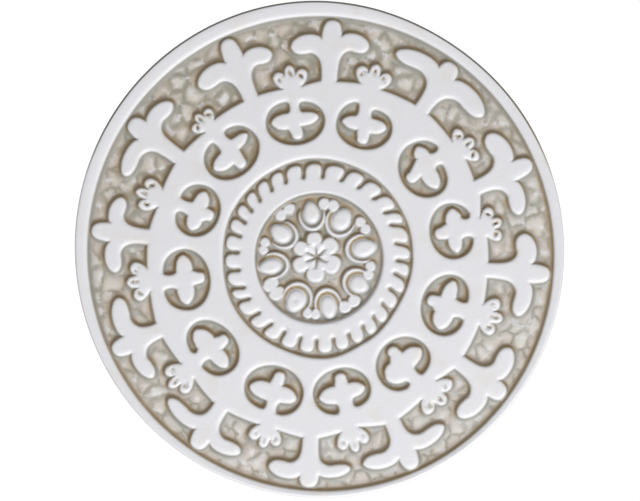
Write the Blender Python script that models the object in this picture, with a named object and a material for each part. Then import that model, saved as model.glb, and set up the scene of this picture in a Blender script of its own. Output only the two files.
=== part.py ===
"""A round wall plaque of glazed fired clay, carved with a rosette.

The plaque is one piece of clay. Its back lies in the plane y = 0 against the wall, its
face looks towards -Y, +Z is up, and the origin is the middle of the back. Lengths are in
metres. It is modelled lying on its back, face up, in x and y, and stood up at the end.

Round the rosette, a place is a bearing, in degrees round from +X towards +Z, and a
radius. The rosette was cut by hand, so its twelve sprays, palmettes and eyes repeat with
small differences, which the tuples below give one by one.
"""

import math

import bmesh
import bpy
from mathutils import Matrix, Vector
from mathutils.geometry import interpolate_bezier

# The slab
PLAQUE_LONG = 0.304  # across the long way of its slightly oval outline
PLAQUE_SHORT = 0.2982
LONG_BEARING = 105.0
THICKNESS = 0.018
EDGE_ROUND = 0.002
FLAT_DEPTH = 0.0012  # the outline is pressed a little flat at its upper right
FLAT_BEARING = 60.0
FLAT_SPREAD = 21.0

# The sunk field inside the rim, and the rosette that is left standing in it
RIM_WIDTH = 0.007
RELIEF = 0.003
FIELD_MIDDLE = Vector((0.0008, -0.0027))
ROSETTE_MIDDLE = Vector((-0.0007, -0.005))
DRAWN_FIELD = Vector((0.1421, 0.145))  # short and long radius of the field as drawn here

# Twelve sprays: bearing, and radius of the ring's edge at the foot of the stem, then for the
# arm on either side the bearing of its tip, its outer radius and its inner radius
SPRAYS = (
    (23.8, 0.106, (12.0, 0.1315, 0.121), (36.0, 0.1352, 0.1225)),
    (55.0, 0.1102, (40.6, 0.1392, 0.127), (69.2, 0.1398, 0.1293)),
    (86.5, 0.1078, (76.4, 0.1382, 0.127), (97.4, 0.1362, 0.1243)),
    (113.0, 0.1055, (102.8, 0.1338, 0.1228), (125.0, 0.134, 0.1218)),
    (144.3, 0.1045, (133.4, 0.136, 0.1255), (157.2, 0.134, 0.124)),
    (173.1, 0.1045, (163.0, 0.1307, 0.121), (184.2, 0.1302, 0.12)),
    (204.6, 0.1067, (191.4, 0.131, 0.12), (216.0, 0.13, 0.1205)),
    (236.9, 0.109, (223.4, 0.1307, 0.1218), (248.2, 0.1332, 0.1243)),
    (267.6, 0.1102, (256.6, 0.136, 0.1257), (278.6, 0.1345, 0.1268)),
    (294.3, 0.1098, (282.3, 0.1346, 0.1248), (306.7, 0.1332, 0.1238)),
    (323.3, 0.107, (311.4, 0.136, 0.1243), (334.7, 0.136, 0.1243)),
    (355.7, 0.1038, (343.6, 0.1325, 0.122), (366.6, 0.1332, 0.1208)),
)
BUD_GAP = 0.0021  # from a spray's tip to the wall of the field
# One side of a bud, from its tip to its foot: share of the stem's half width, share of its height
BUD_SIDE = ((0.0, 1.0), (0.45, 0.93), (0.76, 0.7), (0.93, 0.35))
STEM_HALF = 2.6  # degrees
# One arm, from the bud's foot round its tip to the stem: share of its reach beyond the stem,
# share of the way from its inner to its outer radius
ARM = (
    (0.0, 0.78), (0.17, 0.95), (0.42, 1.0), (0.68, 0.93), (0.91, 0.71), (1.0, 0.43), (0.93, 0.16),
    (0.78, 0.02), (0.56, 0.0), (0.36, 0.03), (0.2, -0.08), (0.07, -0.33), (0.0, -0.75),
)

# Twelve palmettes: bearing, radius of the ring's edge below it, half width, height and turn
PALMETTES = (
    (10.4, 0.1035, 0.0106, 0.0105, 10.0), (37.3, 0.1088, 0.0115, 0.01, 0.0),
    (73.0, 0.1102, 0.011, 0.0128, 0.0), (98.8, 0.106, 0.0104, 0.0125, 0.0),
    (129.8, 0.105, 0.0085, 0.0098, 12.0), (159.5, 0.1045, 0.0098, 0.0138, 4.0),
    (187.6, 0.1055, 0.0117, 0.0122, 0.0), (221.0, 0.107, 0.01, 0.0135, 0.0),
    (253.5, 0.109, 0.01, 0.0118, 0.0), (280.4, 0.108, 0.0098, 0.0128, 7.0),
    (310.0, 0.1065, 0.0128, 0.0118, 12.0), (340.8, 0.1065, 0.0112, 0.012, 7.0),
)
# Half of a palmette, from its middle outwards: shares of its half width and height
MIDDLE_PETAL = ((0.0, 1.0), (0.24, 0.86), (0.3, 0.66), (0.34, 0.52))
SIDE_PETAL = (
    (0.34, 0.52), (0.53, 0.7), (0.79, 0.72), (1.0, 0.54), (0.97, 0.3), (0.81, 0.08), (0.6, -0.1),
)

# Twelve eyes, each a sunk channel that curls round a trefoil in two hooks: bearing and radius of
# its middle, its turn, and how far it reaches inwards. Then for the side before and the side
# after: how far the channel reaches across, how far the hook's end stays from the neck's middle,
# the heights of the hook's top and underside, and where the trefoil's notch lies across and along
EYES = (
    (10.8, 0.083, -2.0, 0.0137,
     (0.0165, 0.0042, 0.012, 0.0058, 0.0038, -0.0032), (0.0175, 0.0065, 0.0122, 0.0072, 0.0055, -0.0028)),
    (39.5, 0.0838, -9.0, 0.0153,
     (0.0172, 0.0017, 0.0112, 0.0066, 0.0024, -0.0039), (0.0179, 0.0061, 0.014, 0.0083, 0.0082, -0.001)),
    (70.4, 0.0846, 10.0, 0.0138,
     (0.0167, 0.0026, 0.0112, 0.006, 0.0039, -0.0035), (0.0176, 0.0053, 0.0138, 0.006, 0.0045, -0.0028)),
    (99.4, 0.0836, -2.0, 0.0138,
     (0.0177, 0.0032, 0.0118, 0.006, 0.003, -0.0028), (0.0183, 0.0025, 0.013, 0.0065, 0.0052, -0.0038)),
    (129.6, 0.0823, 2.0, 0.0142,
     (0.0182, 0.0042, 0.0133, 0.007, 0.005, -0.0008), (0.0183, 0.0038, 0.013, 0.0052, 0.004, -0.0055)),
    (159.0, 0.079, 0.0, 0.0138,
     (0.0162, 0.0033, 0.0126, 0.0048, 0.004, -0.005), (0.0158, 0.0038, 0.0115, 0.0048, 0.005, -0.0052)),
    (189.5, 0.0815, -2.0, 0.0145,
     (0.0186, 0.004, 0.0135, 0.006, 0.005, -0.0045), (0.0186, 0.004, 0.0143, 0.007, 0.004, -0.004)),
    (221.0, 0.0843, 0.0, 0.0138,
     (0.0193, 0.0052, 0.0118, 0.008, 0.005, -0.0045), (0.0175, 0.0025, 0.013, 0.0065, 0.004, -0.0035)),
    (252.0, 0.0853, 0.0, 0.015,
     (0.019, 0.0025, 0.013, 0.0075, 0.0045, -0.0036), (0.0175, 0.004, 0.0132, 0.0065, 0.0035, -0.004)),
    (280.5, 0.0831, 1.0, 0.0145,
     (0.0185, 0.0045, 0.0127, 0.007, 0.0045, -0.0042), (0.017, 0.0045, 0.0106, 0.0052, 0.004, -0.0045)),
    (308.7, 0.0834, 2.0, 0.0163,
     (0.0176, 0.005, 0.0124, 0.0086, 0.006, -0.006), (0.0175, 0.003, 0.012, 0.0055, 0.004, -0.006)),
    (339.7, 0.0835, 3.0, 0.0155,
     (0.019, 0.005, 0.0125, 0.0065, 0.006, -0.006), (0.0188, 0.0043, 0.0115, 0.0046, 0.004, -0.005)),
)
SHOULDER = 0.65  # below 1, the channel's shoulders are fuller than an ellipse's
HOOK_NOSE = 0.003  # from a hook's end to where it reaches its full height
HOOK_CURL = 0.0009  # how far the round of a hook's end reaches across
LOBE_GAP = 0.0035  # between a lobe of the trefoil and the channel's outer edge
LOBE_FALL = 0.0006  # how far the lobe lies below the hook's underside beside it
# A lobe's upper edge: share of its reach, share of the way up from its tip to the hook's underside
LOBE_CREST = ((0.82, 0.62), (1.0, 0.0))
# Its lower edge, from its tip to the notch: share of the way across, share of the way along
LOBE_EDGE = ((0.83, 0.55), (0.5, 0.92))
FOOT_GAP = 0.0032  # between the trefoil's foot and the channel's inner edge
FOOT_SIDE = ((0.0035, 0.68), (0.0032, 0.82), (0.0021, 0.95))  # across, share of the foot's length

# The ring of teeth and the sunk circle in its middle: radii at a few bearings
CHANNEL_EDGE = (
    (0.0, 0.0577), (25.0, 0.0584), (60.0, 0.0596), (100.0, 0.0605), (120.0, 0.0597), (150.0, 0.0595),
    (180.0, 0.0581), (215.0, 0.0598), (245.0, 0.0601), (275.0, 0.0617), (300.0, 0.0591), (330.0, 0.0569),
)
TOOTH_TOPS = (
    (0.0, 0.0557), (40.0, 0.0567), (80.0, 0.0566), (105.0, 0.0574), (150.0, 0.0569), (190.0, 0.0564),
    (225.0, 0.0571), (275.0, 0.058), (300.0, 0.057), (328.0, 0.0549),
)
RECESS_EDGE = ((0.0, 0.0395), (90.0, 0.0395), (178.0, 0.0387), (260.0, 0.0402))
# The notches between the teeth: bearing of the mouth, and how many degrees on the bottom lies
NOTCHES = (
    (7.1, 3.6), (20.0, 4.6), (30.7, 3.6), (43.6, 3.5), (57.5, 2.8), (70.7, 2.8), (86.3, 0.7), (98.9, 1.8),
    (111.4, 2.1), (122.2, 2.6), (132.4, 3.6), (142.9, 2.5), (153.0, 1.8), (164.0, 1.0), (176.4, 0.0),
    (188.0, 1.0), (199.0, 3.2), (208.2, 2.8), (220.7, 2.5), (231.6, 3.4), (244.4, 1.3), (256.8, 0.8),
    (268.6, 0.0), (280.0, 0.4), (291.0, 0.5), (301.0, 2.2), (311.4, 1.8), (322.5, 2.1), (334.3, 2.5),
    (345.5, 3.1), (357.2, 0.8),
)
NOTCH_WIDTH = 0.0027
NOTCH_DEPTH = 0.0085
# One side of a tooth, from its foot to its top: share of its half width, share of the notch's depth
TOOTH_SIDE = ((1.0, 0.12), (1.0, 0.55), (0.83, 0.84), (0.38, 0.99))

# The flower, and what stands round it in the sunk circle
FLOWER_MIDDLE = Vector((-0.001, 0.0002))
FLOWER_PETALS = (44.0, 98.0, 152.0, 202.0, 264.0, 334.0)
FLOWER_REACH = 0.0155
FLOWER_CLEFT = 0.0095
# One petal: share of the way between its clefts, share of its height above them
PETAL_EDGE = ((0.0, 0.0), (0.1, 0.5), (0.27, 0.9), (0.5, 1.0), (0.73, 0.9), (0.9, 0.5), (1.0, 0.0))
SLIT_REACH = 0.0068
SLIT_WIDTH = 0.001
PIT_RADIUS = 0.0023
# Eight beads: bearing, radius, width and length
BEADS = (
    (12.0, 0.0287, 0.0115, 0.0155), (59.0, 0.0275, 0.012, 0.015), (99.0, 0.028, 0.0102, 0.0145),
    (147.0, 0.0275, 0.011, 0.0145), (190.0, 0.0298, 0.01, 0.015), (242.0, 0.0296, 0.0125, 0.015),
    (281.5, 0.0306, 0.0105, 0.015), (327.0, 0.0295, 0.011, 0.013),
)
BEAD_HEIGHT = 0.0028
BEAD_TAPER = 0.12
GROOVE = 0.0018  # between a bead and the crescent round its inner end
CRESCENT_WIDTH = 0.0026
CRESCENT_SPAN = 100.0  # degrees either side of the bead's inner end
# Eight two-lobed shells between the beads: bearing, radius, width and length
SHELLS = (
    (36.0, 0.0333, 0.012, 0.007), (79.0, 0.0327, 0.013, 0.008), (126.0, 0.0344, 0.014, 0.007),
    (168.0, 0.0337, 0.011, 0.0065), (215.0, 0.033, 0.015, 0.011), (263.0, 0.0342, 0.011, 0.007),
    (304.0, 0.0338, 0.015, 0.008), (346.0, 0.032, 0.012, 0.007),
)
SHELL_HEIGHT = 0.0018
# One lobe, from the inner cleft to the outer one: shares of the half width and half length
SHELL_LOBE = (
    (0.0, -0.4), (0.4, -0.95), (0.85, -0.55), (1.0, 0.15), (0.72, 0.82), (0.28, 0.95), (0.0, 0.6),
)

# The pocket in the back that the plaque hangs by
POCKET_WIDTH = 0.012
POCKET_HEIGHT = 0.022
POCKET_DEPTH = 0.008
POCKET_FROM_TOP = 0.045  # from the top of the plaque down to the top of the pocket

# How the shapes are made
ROOT = 0.001  # how far raised work reaches down into the clay
CLEAR = 0.002  # how far a cutter stands out of the clay
SLACK = 0.0004  # how far an outline may cut inside its curve
OUTLINE_STEPS = 96
FIELD_STEPS = 90
CHANNEL_STEPS = 50
RECESS_STEPS = 38
CURVE_STEPS = 9
EYE_STEPS = 12
RING_STEPS = 4
CRESCENT_STEPS = 8
BEAD_SEGMENTS = 14
BEAD_RINGS = 6
POCKET_STEP = 20  # degrees between the points of the pocket's round ends
EDGE_FACETS = 1  # extra rows of faces in the rounding of the slab's edge
WELD = 1e-6
SHARP_ANGLE = 30.0

FIELD_LONG = PLAQUE_LONG / 2 - RIM_WIDTH
FIELD_SHORT = PLAQUE_SHORT / 2 - RIM_WIDTH
GROUND = THICKNESS - RELIEF


def clear_scene():
    """Take every object out of the scene."""
    for thing in list(bpy.data.objects):
        bpy.data.objects.remove(thing, do_unlink=True)


def polar(radius, bearing):
    """The point at a radius and a bearing."""
    turn = math.radians(bearing)
    return Vector((math.cos(turn), math.sin(turn))) * radius


def beside(bearing, other):
    """The bearing, taken a full turn on or back where that brings it nearest the other."""
    return bearing + 360 * round((other - bearing) / 360)


def around(readings, bearing):
    """What readings of (bearing, value) say at a bearing, eased between the two beside it."""
    bearing %= 360
    lap = [(readings[-1][0] - 360, readings[-1][1]), *readings, (readings[0][0] + 360, readings[0][1])]
    for (start, low), (end, high) in zip(lap, lap[1:]):
        if bearing <= end:
            share = (bearing - start) / (end - start)
            return low + (high - low) * share * share * (3 - 2 * share)
    return lap[-1][1]


def oval_radius(long, short, bearing):
    """The radius of an ellipse at a bearing, with its long axis at LONG_BEARING."""
    turn = math.radians(bearing - LONG_BEARING)
    return long * short / math.hypot(short * math.cos(turn), long * math.sin(turn))


def plaque_radius(bearing):
    """The radius of the plaque's outline."""
    away = (beside(bearing, FLAT_BEARING) - FLAT_BEARING) / FLAT_SPREAD
    return oval_radius(PLAQUE_LONG / 2, PLAQUE_SHORT / 2, bearing) - FLAT_DEPTH * math.exp(-away * away)


def wall_radius(bearing):
    """The radius of the field's wall, measured from the middle of the rosette."""
    return oval_radius(*DRAWN_FIELD.yx, bearing) + (FIELD_MIDDLE - ROSETTE_MIDDLE).dot(polar(1, bearing))


def fitted(point):
    """A point of the rosette as drawn, stretched to the size of the plaque's field and set on it."""
    stretch = Matrix.Diagonal((FIELD_SHORT / DRAWN_FIELD.x, FIELD_LONG / DRAWN_FIELD.y))
    turn = Matrix.Rotation(math.radians(LONG_BEARING - 90), 2)
    return ROSETTE_MIDDLE + turn @ stretch @ turn.inverted() @ point


def placed(points, bearing, radius, turn=0.0):
    """Points drawn as (across, outward), moved to a bearing and a radius of the rosette."""
    way = Matrix.Rotation(math.radians(bearing - 90 + turn), 2)
    return [polar(radius, bearing) + way @ Vector((-across, outward)) for across, outward in points]


def mirrored(half):
    """A run that starts on the middle line, with its mirror image before it."""
    return [(-across, outward) for across, outward in reversed(half)] + list(half[1:])


def smooth(run):
    """Points close together along a soft curve through the points of a run."""
    if len(run) < 3:
        return list(run)
    ways = [(after - before).normalized() for before, after in zip(run, run[2:])]
    first, last = (run[1] - run[0]).normalized(), (run[-1] - run[-2]).normalized()
    ways.insert(0, 2 * ways[0].dot(first) * first - ways[0])
    ways.append(2 * ways[-1].dot(last) * last - ways[-1])
    curve = []
    for start, end, leaving, arriving in zip(run, run[1:], ways, ways[1:]):
        third = (end - start).length / 3
        piece = interpolate_bezier(start, start + leaving * third, end - arriving * third, end, CURVE_STEPS)
        curve += [point.xy for point in piece[:-1]]
    return [*curve, run[-1]]


def thinned(curve):
    """The fewest points of a curve that stay within SLACK of it."""
    chord = curve[-1] - curve[0]
    side = Vector((-chord.y, chord.x)).normalized()
    reach = [point - curve[0] for point in curve]
    bulges = [abs(way.dot(side)) if chord.length else way.length for way in reach]
    far = max(range(len(curve)), key=bulges.__getitem__)
    if bulges[far] <= SLACK:
        return [curve[0], curve[-1]]
    return thinned(curve[: far + 1])[:-1] + thinned(curve[far:])


def outline(runs):
    """One closed outline: soft along each run, with a corner wherever two runs meet."""
    return [point for run in runs for point in thinned(smooth(run))[:-1]]


def palmette_runs(bearing, edge, half, height, turn):
    """A palmette's outline, as the runs along its three petals."""
    middle = [(across * half, outward * height) for across, outward in mirrored(MIDDLE_PETAL)]
    far = [(across * half, outward * height) for across, outward in SIDE_PETAL]
    near = [(-across, outward) for across, outward in reversed(far)]
    return [placed(run, bearing, edge, turn) for run in (near, middle, far)]


def arm_run(bearing, foot, tip, outer, inner):
    """One arm's outline, from the foot of the bud to the foot of the stem."""
    side = bearing + math.copysign(STEM_HALF, tip - bearing)
    run = [polar(inner + high * (outer - inner), side + share * (tip - side)) for share, high in ARM]
    return [*run, polar(foot, side)]


def bud_run(bearing, corners):
    """A bud's outline, from one corner over its tip, which nearly meets the wall, to the other."""
    tip = wall_radius(bearing) - BUD_GAP
    sides = []
    for corner, half in zip(corners, (-STEM_HALF, STEM_HALF)):
        foot = corner.length
        sides.append([polar(foot + high * (tip - foot), bearing + share * half) for share, high in BUD_SIDE])
    return [corners[0], *sides[0][:0:-1], *sides[1], corners[1]]


def ring_run(start, end):
    """The ring's edge from one point to another."""
    first = math.degrees(math.atan2(start.y, start.x))
    last = beside(math.degrees(math.atan2(end.y, end.x)), first)
    run = []
    for step in range(RING_STEPS + 1):
        share = step / RING_STEPS
        run.append(polar(start.length + share * (end.length - start.length), first + share * (last - first)))
    return run


def lattice_outline():
    """The outer edge of the ring with its sprays and palmettes."""
    palmettes = [palmette_runs(*palmette) for palmette in PALMETTES]
    runs = []
    for place, (bearing, foot, *arms) in enumerate(SPRAYS):
        near, far = (arm_run(bearing, foot, *arm) for arm in arms)
        petals = palmettes[place]
        following = palmettes[(place + 1) % len(palmettes)]
        runs += [*petals, ring_run(petals[-1][-1], near[-1]), near[::-1]]
        runs += [bud_run(bearing, (near[0], far[0])), far, ring_run(far[-1], following[0][0])]
    return outline(runs)


def eye_side(depth, half, hook, top, under, notch, level):
    """One side of an eye, from the channel's inner edge round the hook to the trefoil's notch."""
    start = math.asin(((hook + HOOK_NOSE) / half) ** (1 / SHOULDER))
    side = []
    for step in range(EYE_STEPS + 1):
        angle = math.pi - (math.pi - start) * step / EYE_STEPS
        if angle > math.pi / 2:
            side.append((half * math.sin(angle), depth * math.cos(angle)))
        else:
            side.append((half * math.sin(angle) ** SHOULDER, top * math.cos(angle) / math.cos(start)))
    tip = half - LOBE_GAP
    middle = (under + level) / 2
    side += [(hook + HOOK_CURL, top - HOOK_CURL / 2), (hook, (top + under) / 2), (hook + HOOK_CURL, under)]
    side.append((max(hook + HOOK_NOSE, tip / 2), under - LOBE_FALL))
    side += [(way * tip, middle + up * (under - middle)) for way, up in LOBE_CREST]
    side += [(notch + way * (tip - notch), middle + down * (level - middle)) for way, down in LOBE_EDGE]
    return [*side, (notch, level)]


def eye_outline(bearing, radius, turn, depth, before, after):
    """The channel of one eye, from the notch on one side round to the other, and back by the foot."""
    near = [(-across, outward) for across, outward in eye_side(depth, *before)]
    far = eye_side(depth, *after)
    foot = depth - FOOT_GAP
    side = [(across, -share * foot) for across, share in FOOT_SIDE]
    other = [(-across, outward) for across, outward in reversed(side)]
    runs = [[*near[::-1], *far[1:]], [far[-1], *side, (0, -foot), *other, near[-1]]]
    return outline([placed(run, bearing, radius, turn) for run in runs])


def turned_outline(readings, steps):
    """A nearly round outline whose radius follows readings round the rosette."""
    return [polar(around(readings, 360 * step / steps), 360 * step / steps) for step in range(steps)]


def teeth_outline():
    """The toothed outer edge of the inner ring."""
    run = []
    following = [*NOTCHES[1:], (NOTCHES[0][0] + 360, NOTCHES[0][1])]
    for (start, lean), (end, next_lean) in zip(NOTCHES, following):
        top = around(TOOTH_TOPS, (start + end) / 2)
        floor = top - NOTCH_DEPTH
        half_notch = math.degrees(NOTCH_WIDTH / 2 / top)
        sides = ([], [])
        for across, deep in TOOTH_SIDE:
            low = start + half_notch + (1 - deep) * lean
            high = end - half_notch + (1 - deep) * next_lean
            for side, share in zip(sides, (-across, across)):
                place = (low + high) / 2 + share * (high - low) / 2
                side.append(polar(floor + deep * NOTCH_DEPTH, place))
        run += [*sides[0], *reversed(sides[1]), polar(floor, end + next_lean)]
    return outline([[*run, run[0]]])


def flower_outlines():
    """The flower's petals, and the star of slits that opens its middle."""
    petals = []
    star = []
    half_slit = math.degrees(SLIT_WIDTH / 2 / SLIT_REACH)
    for place, bearing in enumerate(FLOWER_PETALS):
        before = (beside(FLOWER_PETALS[place - 1], bearing) + bearing) / 2
        after = (beside(FLOWER_PETALS[(place + 1) % len(FLOWER_PETALS)], bearing) + bearing) / 2
        petal = []
        for way, high in PETAL_EDGE:
            radius = FLOWER_CLEFT + high * (FLOWER_REACH - FLOWER_CLEFT)
            petal.append(FLOWER_MIDDLE + polar(radius, before + way * (after - before)))
        petals.append(petal)
        star.append(FLOWER_MIDDLE + polar(PIT_RADIUS, before))
        star += [FLOWER_MIDDLE + polar(SLIT_REACH, bearing + side) for side in (-half_slit, half_slit)]
    return [outline(petals), star]


def crescent_outline(bearing, radius, width, length):
    """The ridge round a bead's inner end, which runs out to a point at both ends."""
    edges = []
    for thick in (0, CRESCENT_WIDTH):
        edge = []
        for step in range(-CRESCENT_STEPS, CRESCENT_STEPS + 1):
            share = step / CRESCENT_STEPS
            angle = math.radians(share * CRESCENT_SPAN)
            out = GROOVE + thick * math.sqrt(1 - share * share)
            edge.append((math.sin(angle) * (width / 2 + out), -math.cos(angle) * (length / 2 + out)))
        edges.append(placed(edge, bearing, radius))
    return outline([edges[0], edges[1][::-1]])


def shell_outline(bearing, radius, width, length):
    """The two lobes of a shell."""
    lobe = [(across * width / 2, outward * length / 2) for across, outward in SHELL_LOBE]
    other = [(-across, outward) for across, outward in lobe[::-1]]
    return outline([placed(lobe, bearing, radius), placed(other, bearing, radius)])


def collection(name, hidden=False):
    """A new collection, whose objects only cut or join others where it is hidden."""
    made = bpy.data.collections.new(name)
    bpy.context.scene.collection.children.link(made)
    made.hide_render = hidden
    return made


def as_tool(thing):
    """Mark an object as one that only cuts or joins."""
    thing.hide_render = True
    thing.display_type = "WIRE"


def flat_solid(name, outlines, floor, top, home, rounding=0.0):
    """A solid between two heights whose plan is the area between the outlines."""
    curve = bpy.data.curves.new(name, "CURVE")
    curve.dimensions = "2D"
    curve.fill_mode = "BOTH"
    curve.extrude = (top - floor) / 2 - rounding
    curve.bevel_depth = rounding
    curve.bevel_resolution = EDGE_FACETS
    curve.offset = -rounding
    for points in outlines:
        spline = curve.splines.new("POLY")
        spline.points.add(len(points) - 1)
        spline.use_cyclic_u = True
        for control, point in zip(spline.points, points):
            control.co = (point.x, point.y, 0, 1)
    drawn = bpy.data.objects.new(f"{name}_outline", curve)
    drawn.location.z = (floor + top) / 2
    home.objects.link(drawn)
    bpy.context.view_layer.update()
    mesh = bpy.data.meshes.new_from_object(drawn.evaluated_get(bpy.context.evaluated_depsgraph_get()))
    mesh.name = name
    work = bmesh.new()
    work.from_mesh(mesh)
    bmesh.ops.remove_doubles(work, verts=work.verts, dist=WELD)
    bmesh.ops.recalc_face_normals(work, faces=work.faces)
    work.to_mesh(mesh)
    work.free()
    solid = bpy.data.objects.new(name, mesh)
    solid.matrix_world = drawn.matrix_world
    home.objects.link(solid)
    bpy.data.objects.remove(drawn)
    return solid


def raise_outlines(name, outlines, home, height=RELIEF):
    """Raised work in the field, rooted a little way into the clay."""
    fitted_outlines = [[fitted(point) for point in points] for points in outlines]
    as_tool(flat_solid(name, fitted_outlines, GROUND - ROOT, GROUND + height, home))


def add_bead(name, bearing, radius, width, length, home):
    """A bead: an egg lying in the field, with its narrow end outward."""
    half_height = BEAD_HEIGHT + ROOT
    work = bmesh.new()
    bmesh.ops.create_uvsphere(work, u_segments=BEAD_SEGMENTS, v_segments=BEAD_RINGS, radius=1)
    for vert in work.verts:
        vert.co.x *= width / 2 * (1 - BEAD_TAPER * vert.co.y)
        vert.co.y *= length / 2
        vert.co.z *= half_height
    mesh = bpy.data.meshes.new(name)
    work.to_mesh(mesh)
    work.free()
    bead = bpy.data.objects.new(name, mesh)
    middle = fitted(polar(radius, bearing))
    bead.matrix_world = Matrix.Translation((*middle, GROUND - ROOT)) @ Matrix.Rotation(
        math.radians(bearing - 90), 4, "Z"
    )
    home.objects.link(bead)
    as_tool(bead)


def raise_rosette(home):
    """Everything that stands in the sunk field."""
    eyes = [eye_outline(*eye) for eye in EYES]
    channel = turned_outline(CHANNEL_EDGE, CHANNEL_STEPS)
    raise_outlines("lattice", [lattice_outline(), *eyes, channel], home)
    raise_outlines("tooth_ring", [teeth_outline(), turned_outline(RECESS_EDGE, RECESS_STEPS)], home)
    raise_outlines("flower", flower_outlines(), home)
    for place, bead in enumerate(BEADS, 1):
        add_bead(f"bead_{place}", *bead, home)
        raise_outlines(f"crescent_{place}", [crescent_outline(*bead)], home)
    for place, shell in enumerate(SHELLS, 1):
        raise_outlines(f"shell_{place}", [shell_outline(*shell)], home, SHELL_HEIGHT)


def field_cutter(home):
    """What sinks the field below the rim."""
    bearings = [360 * step / FIELD_STEPS for step in range(FIELD_STEPS)]
    radii = [oval_radius(FIELD_LONG, FIELD_SHORT, bearing) for bearing in bearings]
    points = [FIELD_MIDDLE + polar(radius, bearing) for radius, bearing in zip(radii, bearings)]
    cutter = flat_solid("field", [points], GROUND, THICKNESS + CLEAR, home)
    as_tool(cutter)
    return cutter


def pocket_cutter(home):
    """The blind pocket in the back, with round ends, that takes the head of a nail."""
    radius = POCKET_WIDTH / 2
    top = plaque_radius(90) - POCKET_FROM_TOP - radius
    bottom = top - POCKET_HEIGHT + POCKET_WIDTH
    upper = [Vector((0, top)) + polar(radius, bearing) for bearing in range(0, 181, POCKET_STEP)]
    lower = [Vector((0, bottom)) + polar(radius, bearing) for bearing in range(180, 361, POCKET_STEP)]
    cutter = flat_solid("pocket", [upper + lower], -CLEAR, POCKET_DEPTH, home)
    as_tool(cutter)
    return cutter


def add_boolean(thing, operation, tool):
    """Cut a thing with an object, or join a collection to it."""
    modifier = thing.modifiers.new(operation.lower(), "BOOLEAN")
    modifier.operation = operation
    modifier.solver = "EXACT"
    if isinstance(tool, bpy.types.Collection):
        modifier.operand_type = "COLLECTION"
        modifier.collection = tool
    else:
        modifier.object = tool


def white_glaze():
    """Milky white glaze over fired clay."""
    material = bpy.data.materials.new("white_glaze")
    material.use_nodes = True
    shader = material.node_tree.nodes["Principled BSDF"]
    shader.inputs["Base Color"].default_value = (0.74, 0.73, 0.72, 1)
    shader.inputs["Roughness"].default_value = 0.25
    shader.inputs["Metallic"].default_value = 0.0
    return material


def build_plaque():
    """The whole plaque, stood up with its back against the wall."""
    home = collection("wall_plaque")
    cutters = collection("cutters", hidden=True)
    raised = collection("raised_work", hidden=True)
    bearings = [360 * step / OUTLINE_STEPS for step in range(OUTLINE_STEPS)]
    rim = [polar(plaque_radius(bearing), bearing) for bearing in bearings]
    plaque = flat_solid("plaque", [rim], 0, THICKNESS, home, EDGE_ROUND)
    plaque.data.materials.append(white_glaze())
    raise_rosette(raised)
    add_boolean(plaque, "DIFFERENCE", field_cutter(cutters))
    add_boolean(plaque, "UNION", raised)
    add_boolean(plaque, "DIFFERENCE", pocket_cutter(cutters))
    plaque.data.shade_smooth()
    plaque.data.set_sharp_from_angle(angle=math.radians(SHARP_ANGLE))
    stand_up = Matrix.Rotation(math.radians(90), 4, "X")
    for thing in (*home.objects, *cutters.objects, *raised.objects):
        thing.matrix_world = stand_up @ thing.matrix_world
    return plaque


if __name__ == "__main__":
    clear_scene()
    build_plaque()
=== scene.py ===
"""A round wall plaque of glazed fired clay, carved with a rosette, on its pale stage.

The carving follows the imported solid: the same outlines stand above the same sunk field, with
soft walls, dimples, grooves and glaze added. Lengths are in metres. The plaque's back lies in
the plane y = 0, its face looks towards -Y, and +Z is up. It is shaped lying on its back, face
up, in x and y, and stood up at the end.

Round the rosette, a place is a bearing, in degrees round from +X towards +Z, and a radius.
"""

import math

import bmesh
import bpy
import numpy as np
from bpy.props import FloatProperty, FloatVectorProperty, PointerProperty
from bpy.types import Operator, Panel, PropertyGroup
from mathutils import Matrix, Vector, noise
from mathutils.geometry import interpolate_bezier
from mathutils.kdtree import KDTree


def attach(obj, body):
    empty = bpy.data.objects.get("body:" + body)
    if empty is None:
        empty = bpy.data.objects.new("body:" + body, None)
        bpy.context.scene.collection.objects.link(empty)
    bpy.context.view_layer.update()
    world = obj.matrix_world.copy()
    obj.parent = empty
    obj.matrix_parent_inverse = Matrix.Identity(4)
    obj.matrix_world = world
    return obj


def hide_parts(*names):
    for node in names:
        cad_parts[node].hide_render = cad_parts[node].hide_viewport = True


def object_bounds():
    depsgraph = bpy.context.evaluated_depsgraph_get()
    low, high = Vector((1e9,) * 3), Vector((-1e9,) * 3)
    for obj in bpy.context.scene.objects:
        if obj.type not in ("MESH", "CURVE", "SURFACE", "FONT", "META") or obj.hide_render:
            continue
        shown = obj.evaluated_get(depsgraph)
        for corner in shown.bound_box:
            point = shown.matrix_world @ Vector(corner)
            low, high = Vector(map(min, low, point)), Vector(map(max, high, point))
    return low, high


bl_info = {
    "name": "Carved Wall Plaque",
    "version": (1, 0, 0),
    "blender": (4, 5, 0),
    "location": "View3D > Sidebar > Plaque",
    "description": "Carves and glazes a round wall plaque over its packed solid",
    "category": "Object",
}

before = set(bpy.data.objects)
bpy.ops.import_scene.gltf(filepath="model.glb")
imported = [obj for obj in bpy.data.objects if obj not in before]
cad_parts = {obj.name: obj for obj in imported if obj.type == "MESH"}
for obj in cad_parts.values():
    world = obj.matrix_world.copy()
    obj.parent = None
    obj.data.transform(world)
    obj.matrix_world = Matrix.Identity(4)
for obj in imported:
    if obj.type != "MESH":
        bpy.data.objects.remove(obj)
SOLID_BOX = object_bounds()
THICKNESS = SOLID_BOX[1].y - SOLID_BOX[0].y

# The slab's slightly oval outline
PLAQUE_LONG = 0.304
PLAQUE_SHORT = 0.2982
LONG_BEARING = 105.0
FLAT_DEPTH = 0.0012
FLAT_BEARING = 60.0
FLAT_SPREAD = 21.0

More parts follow.
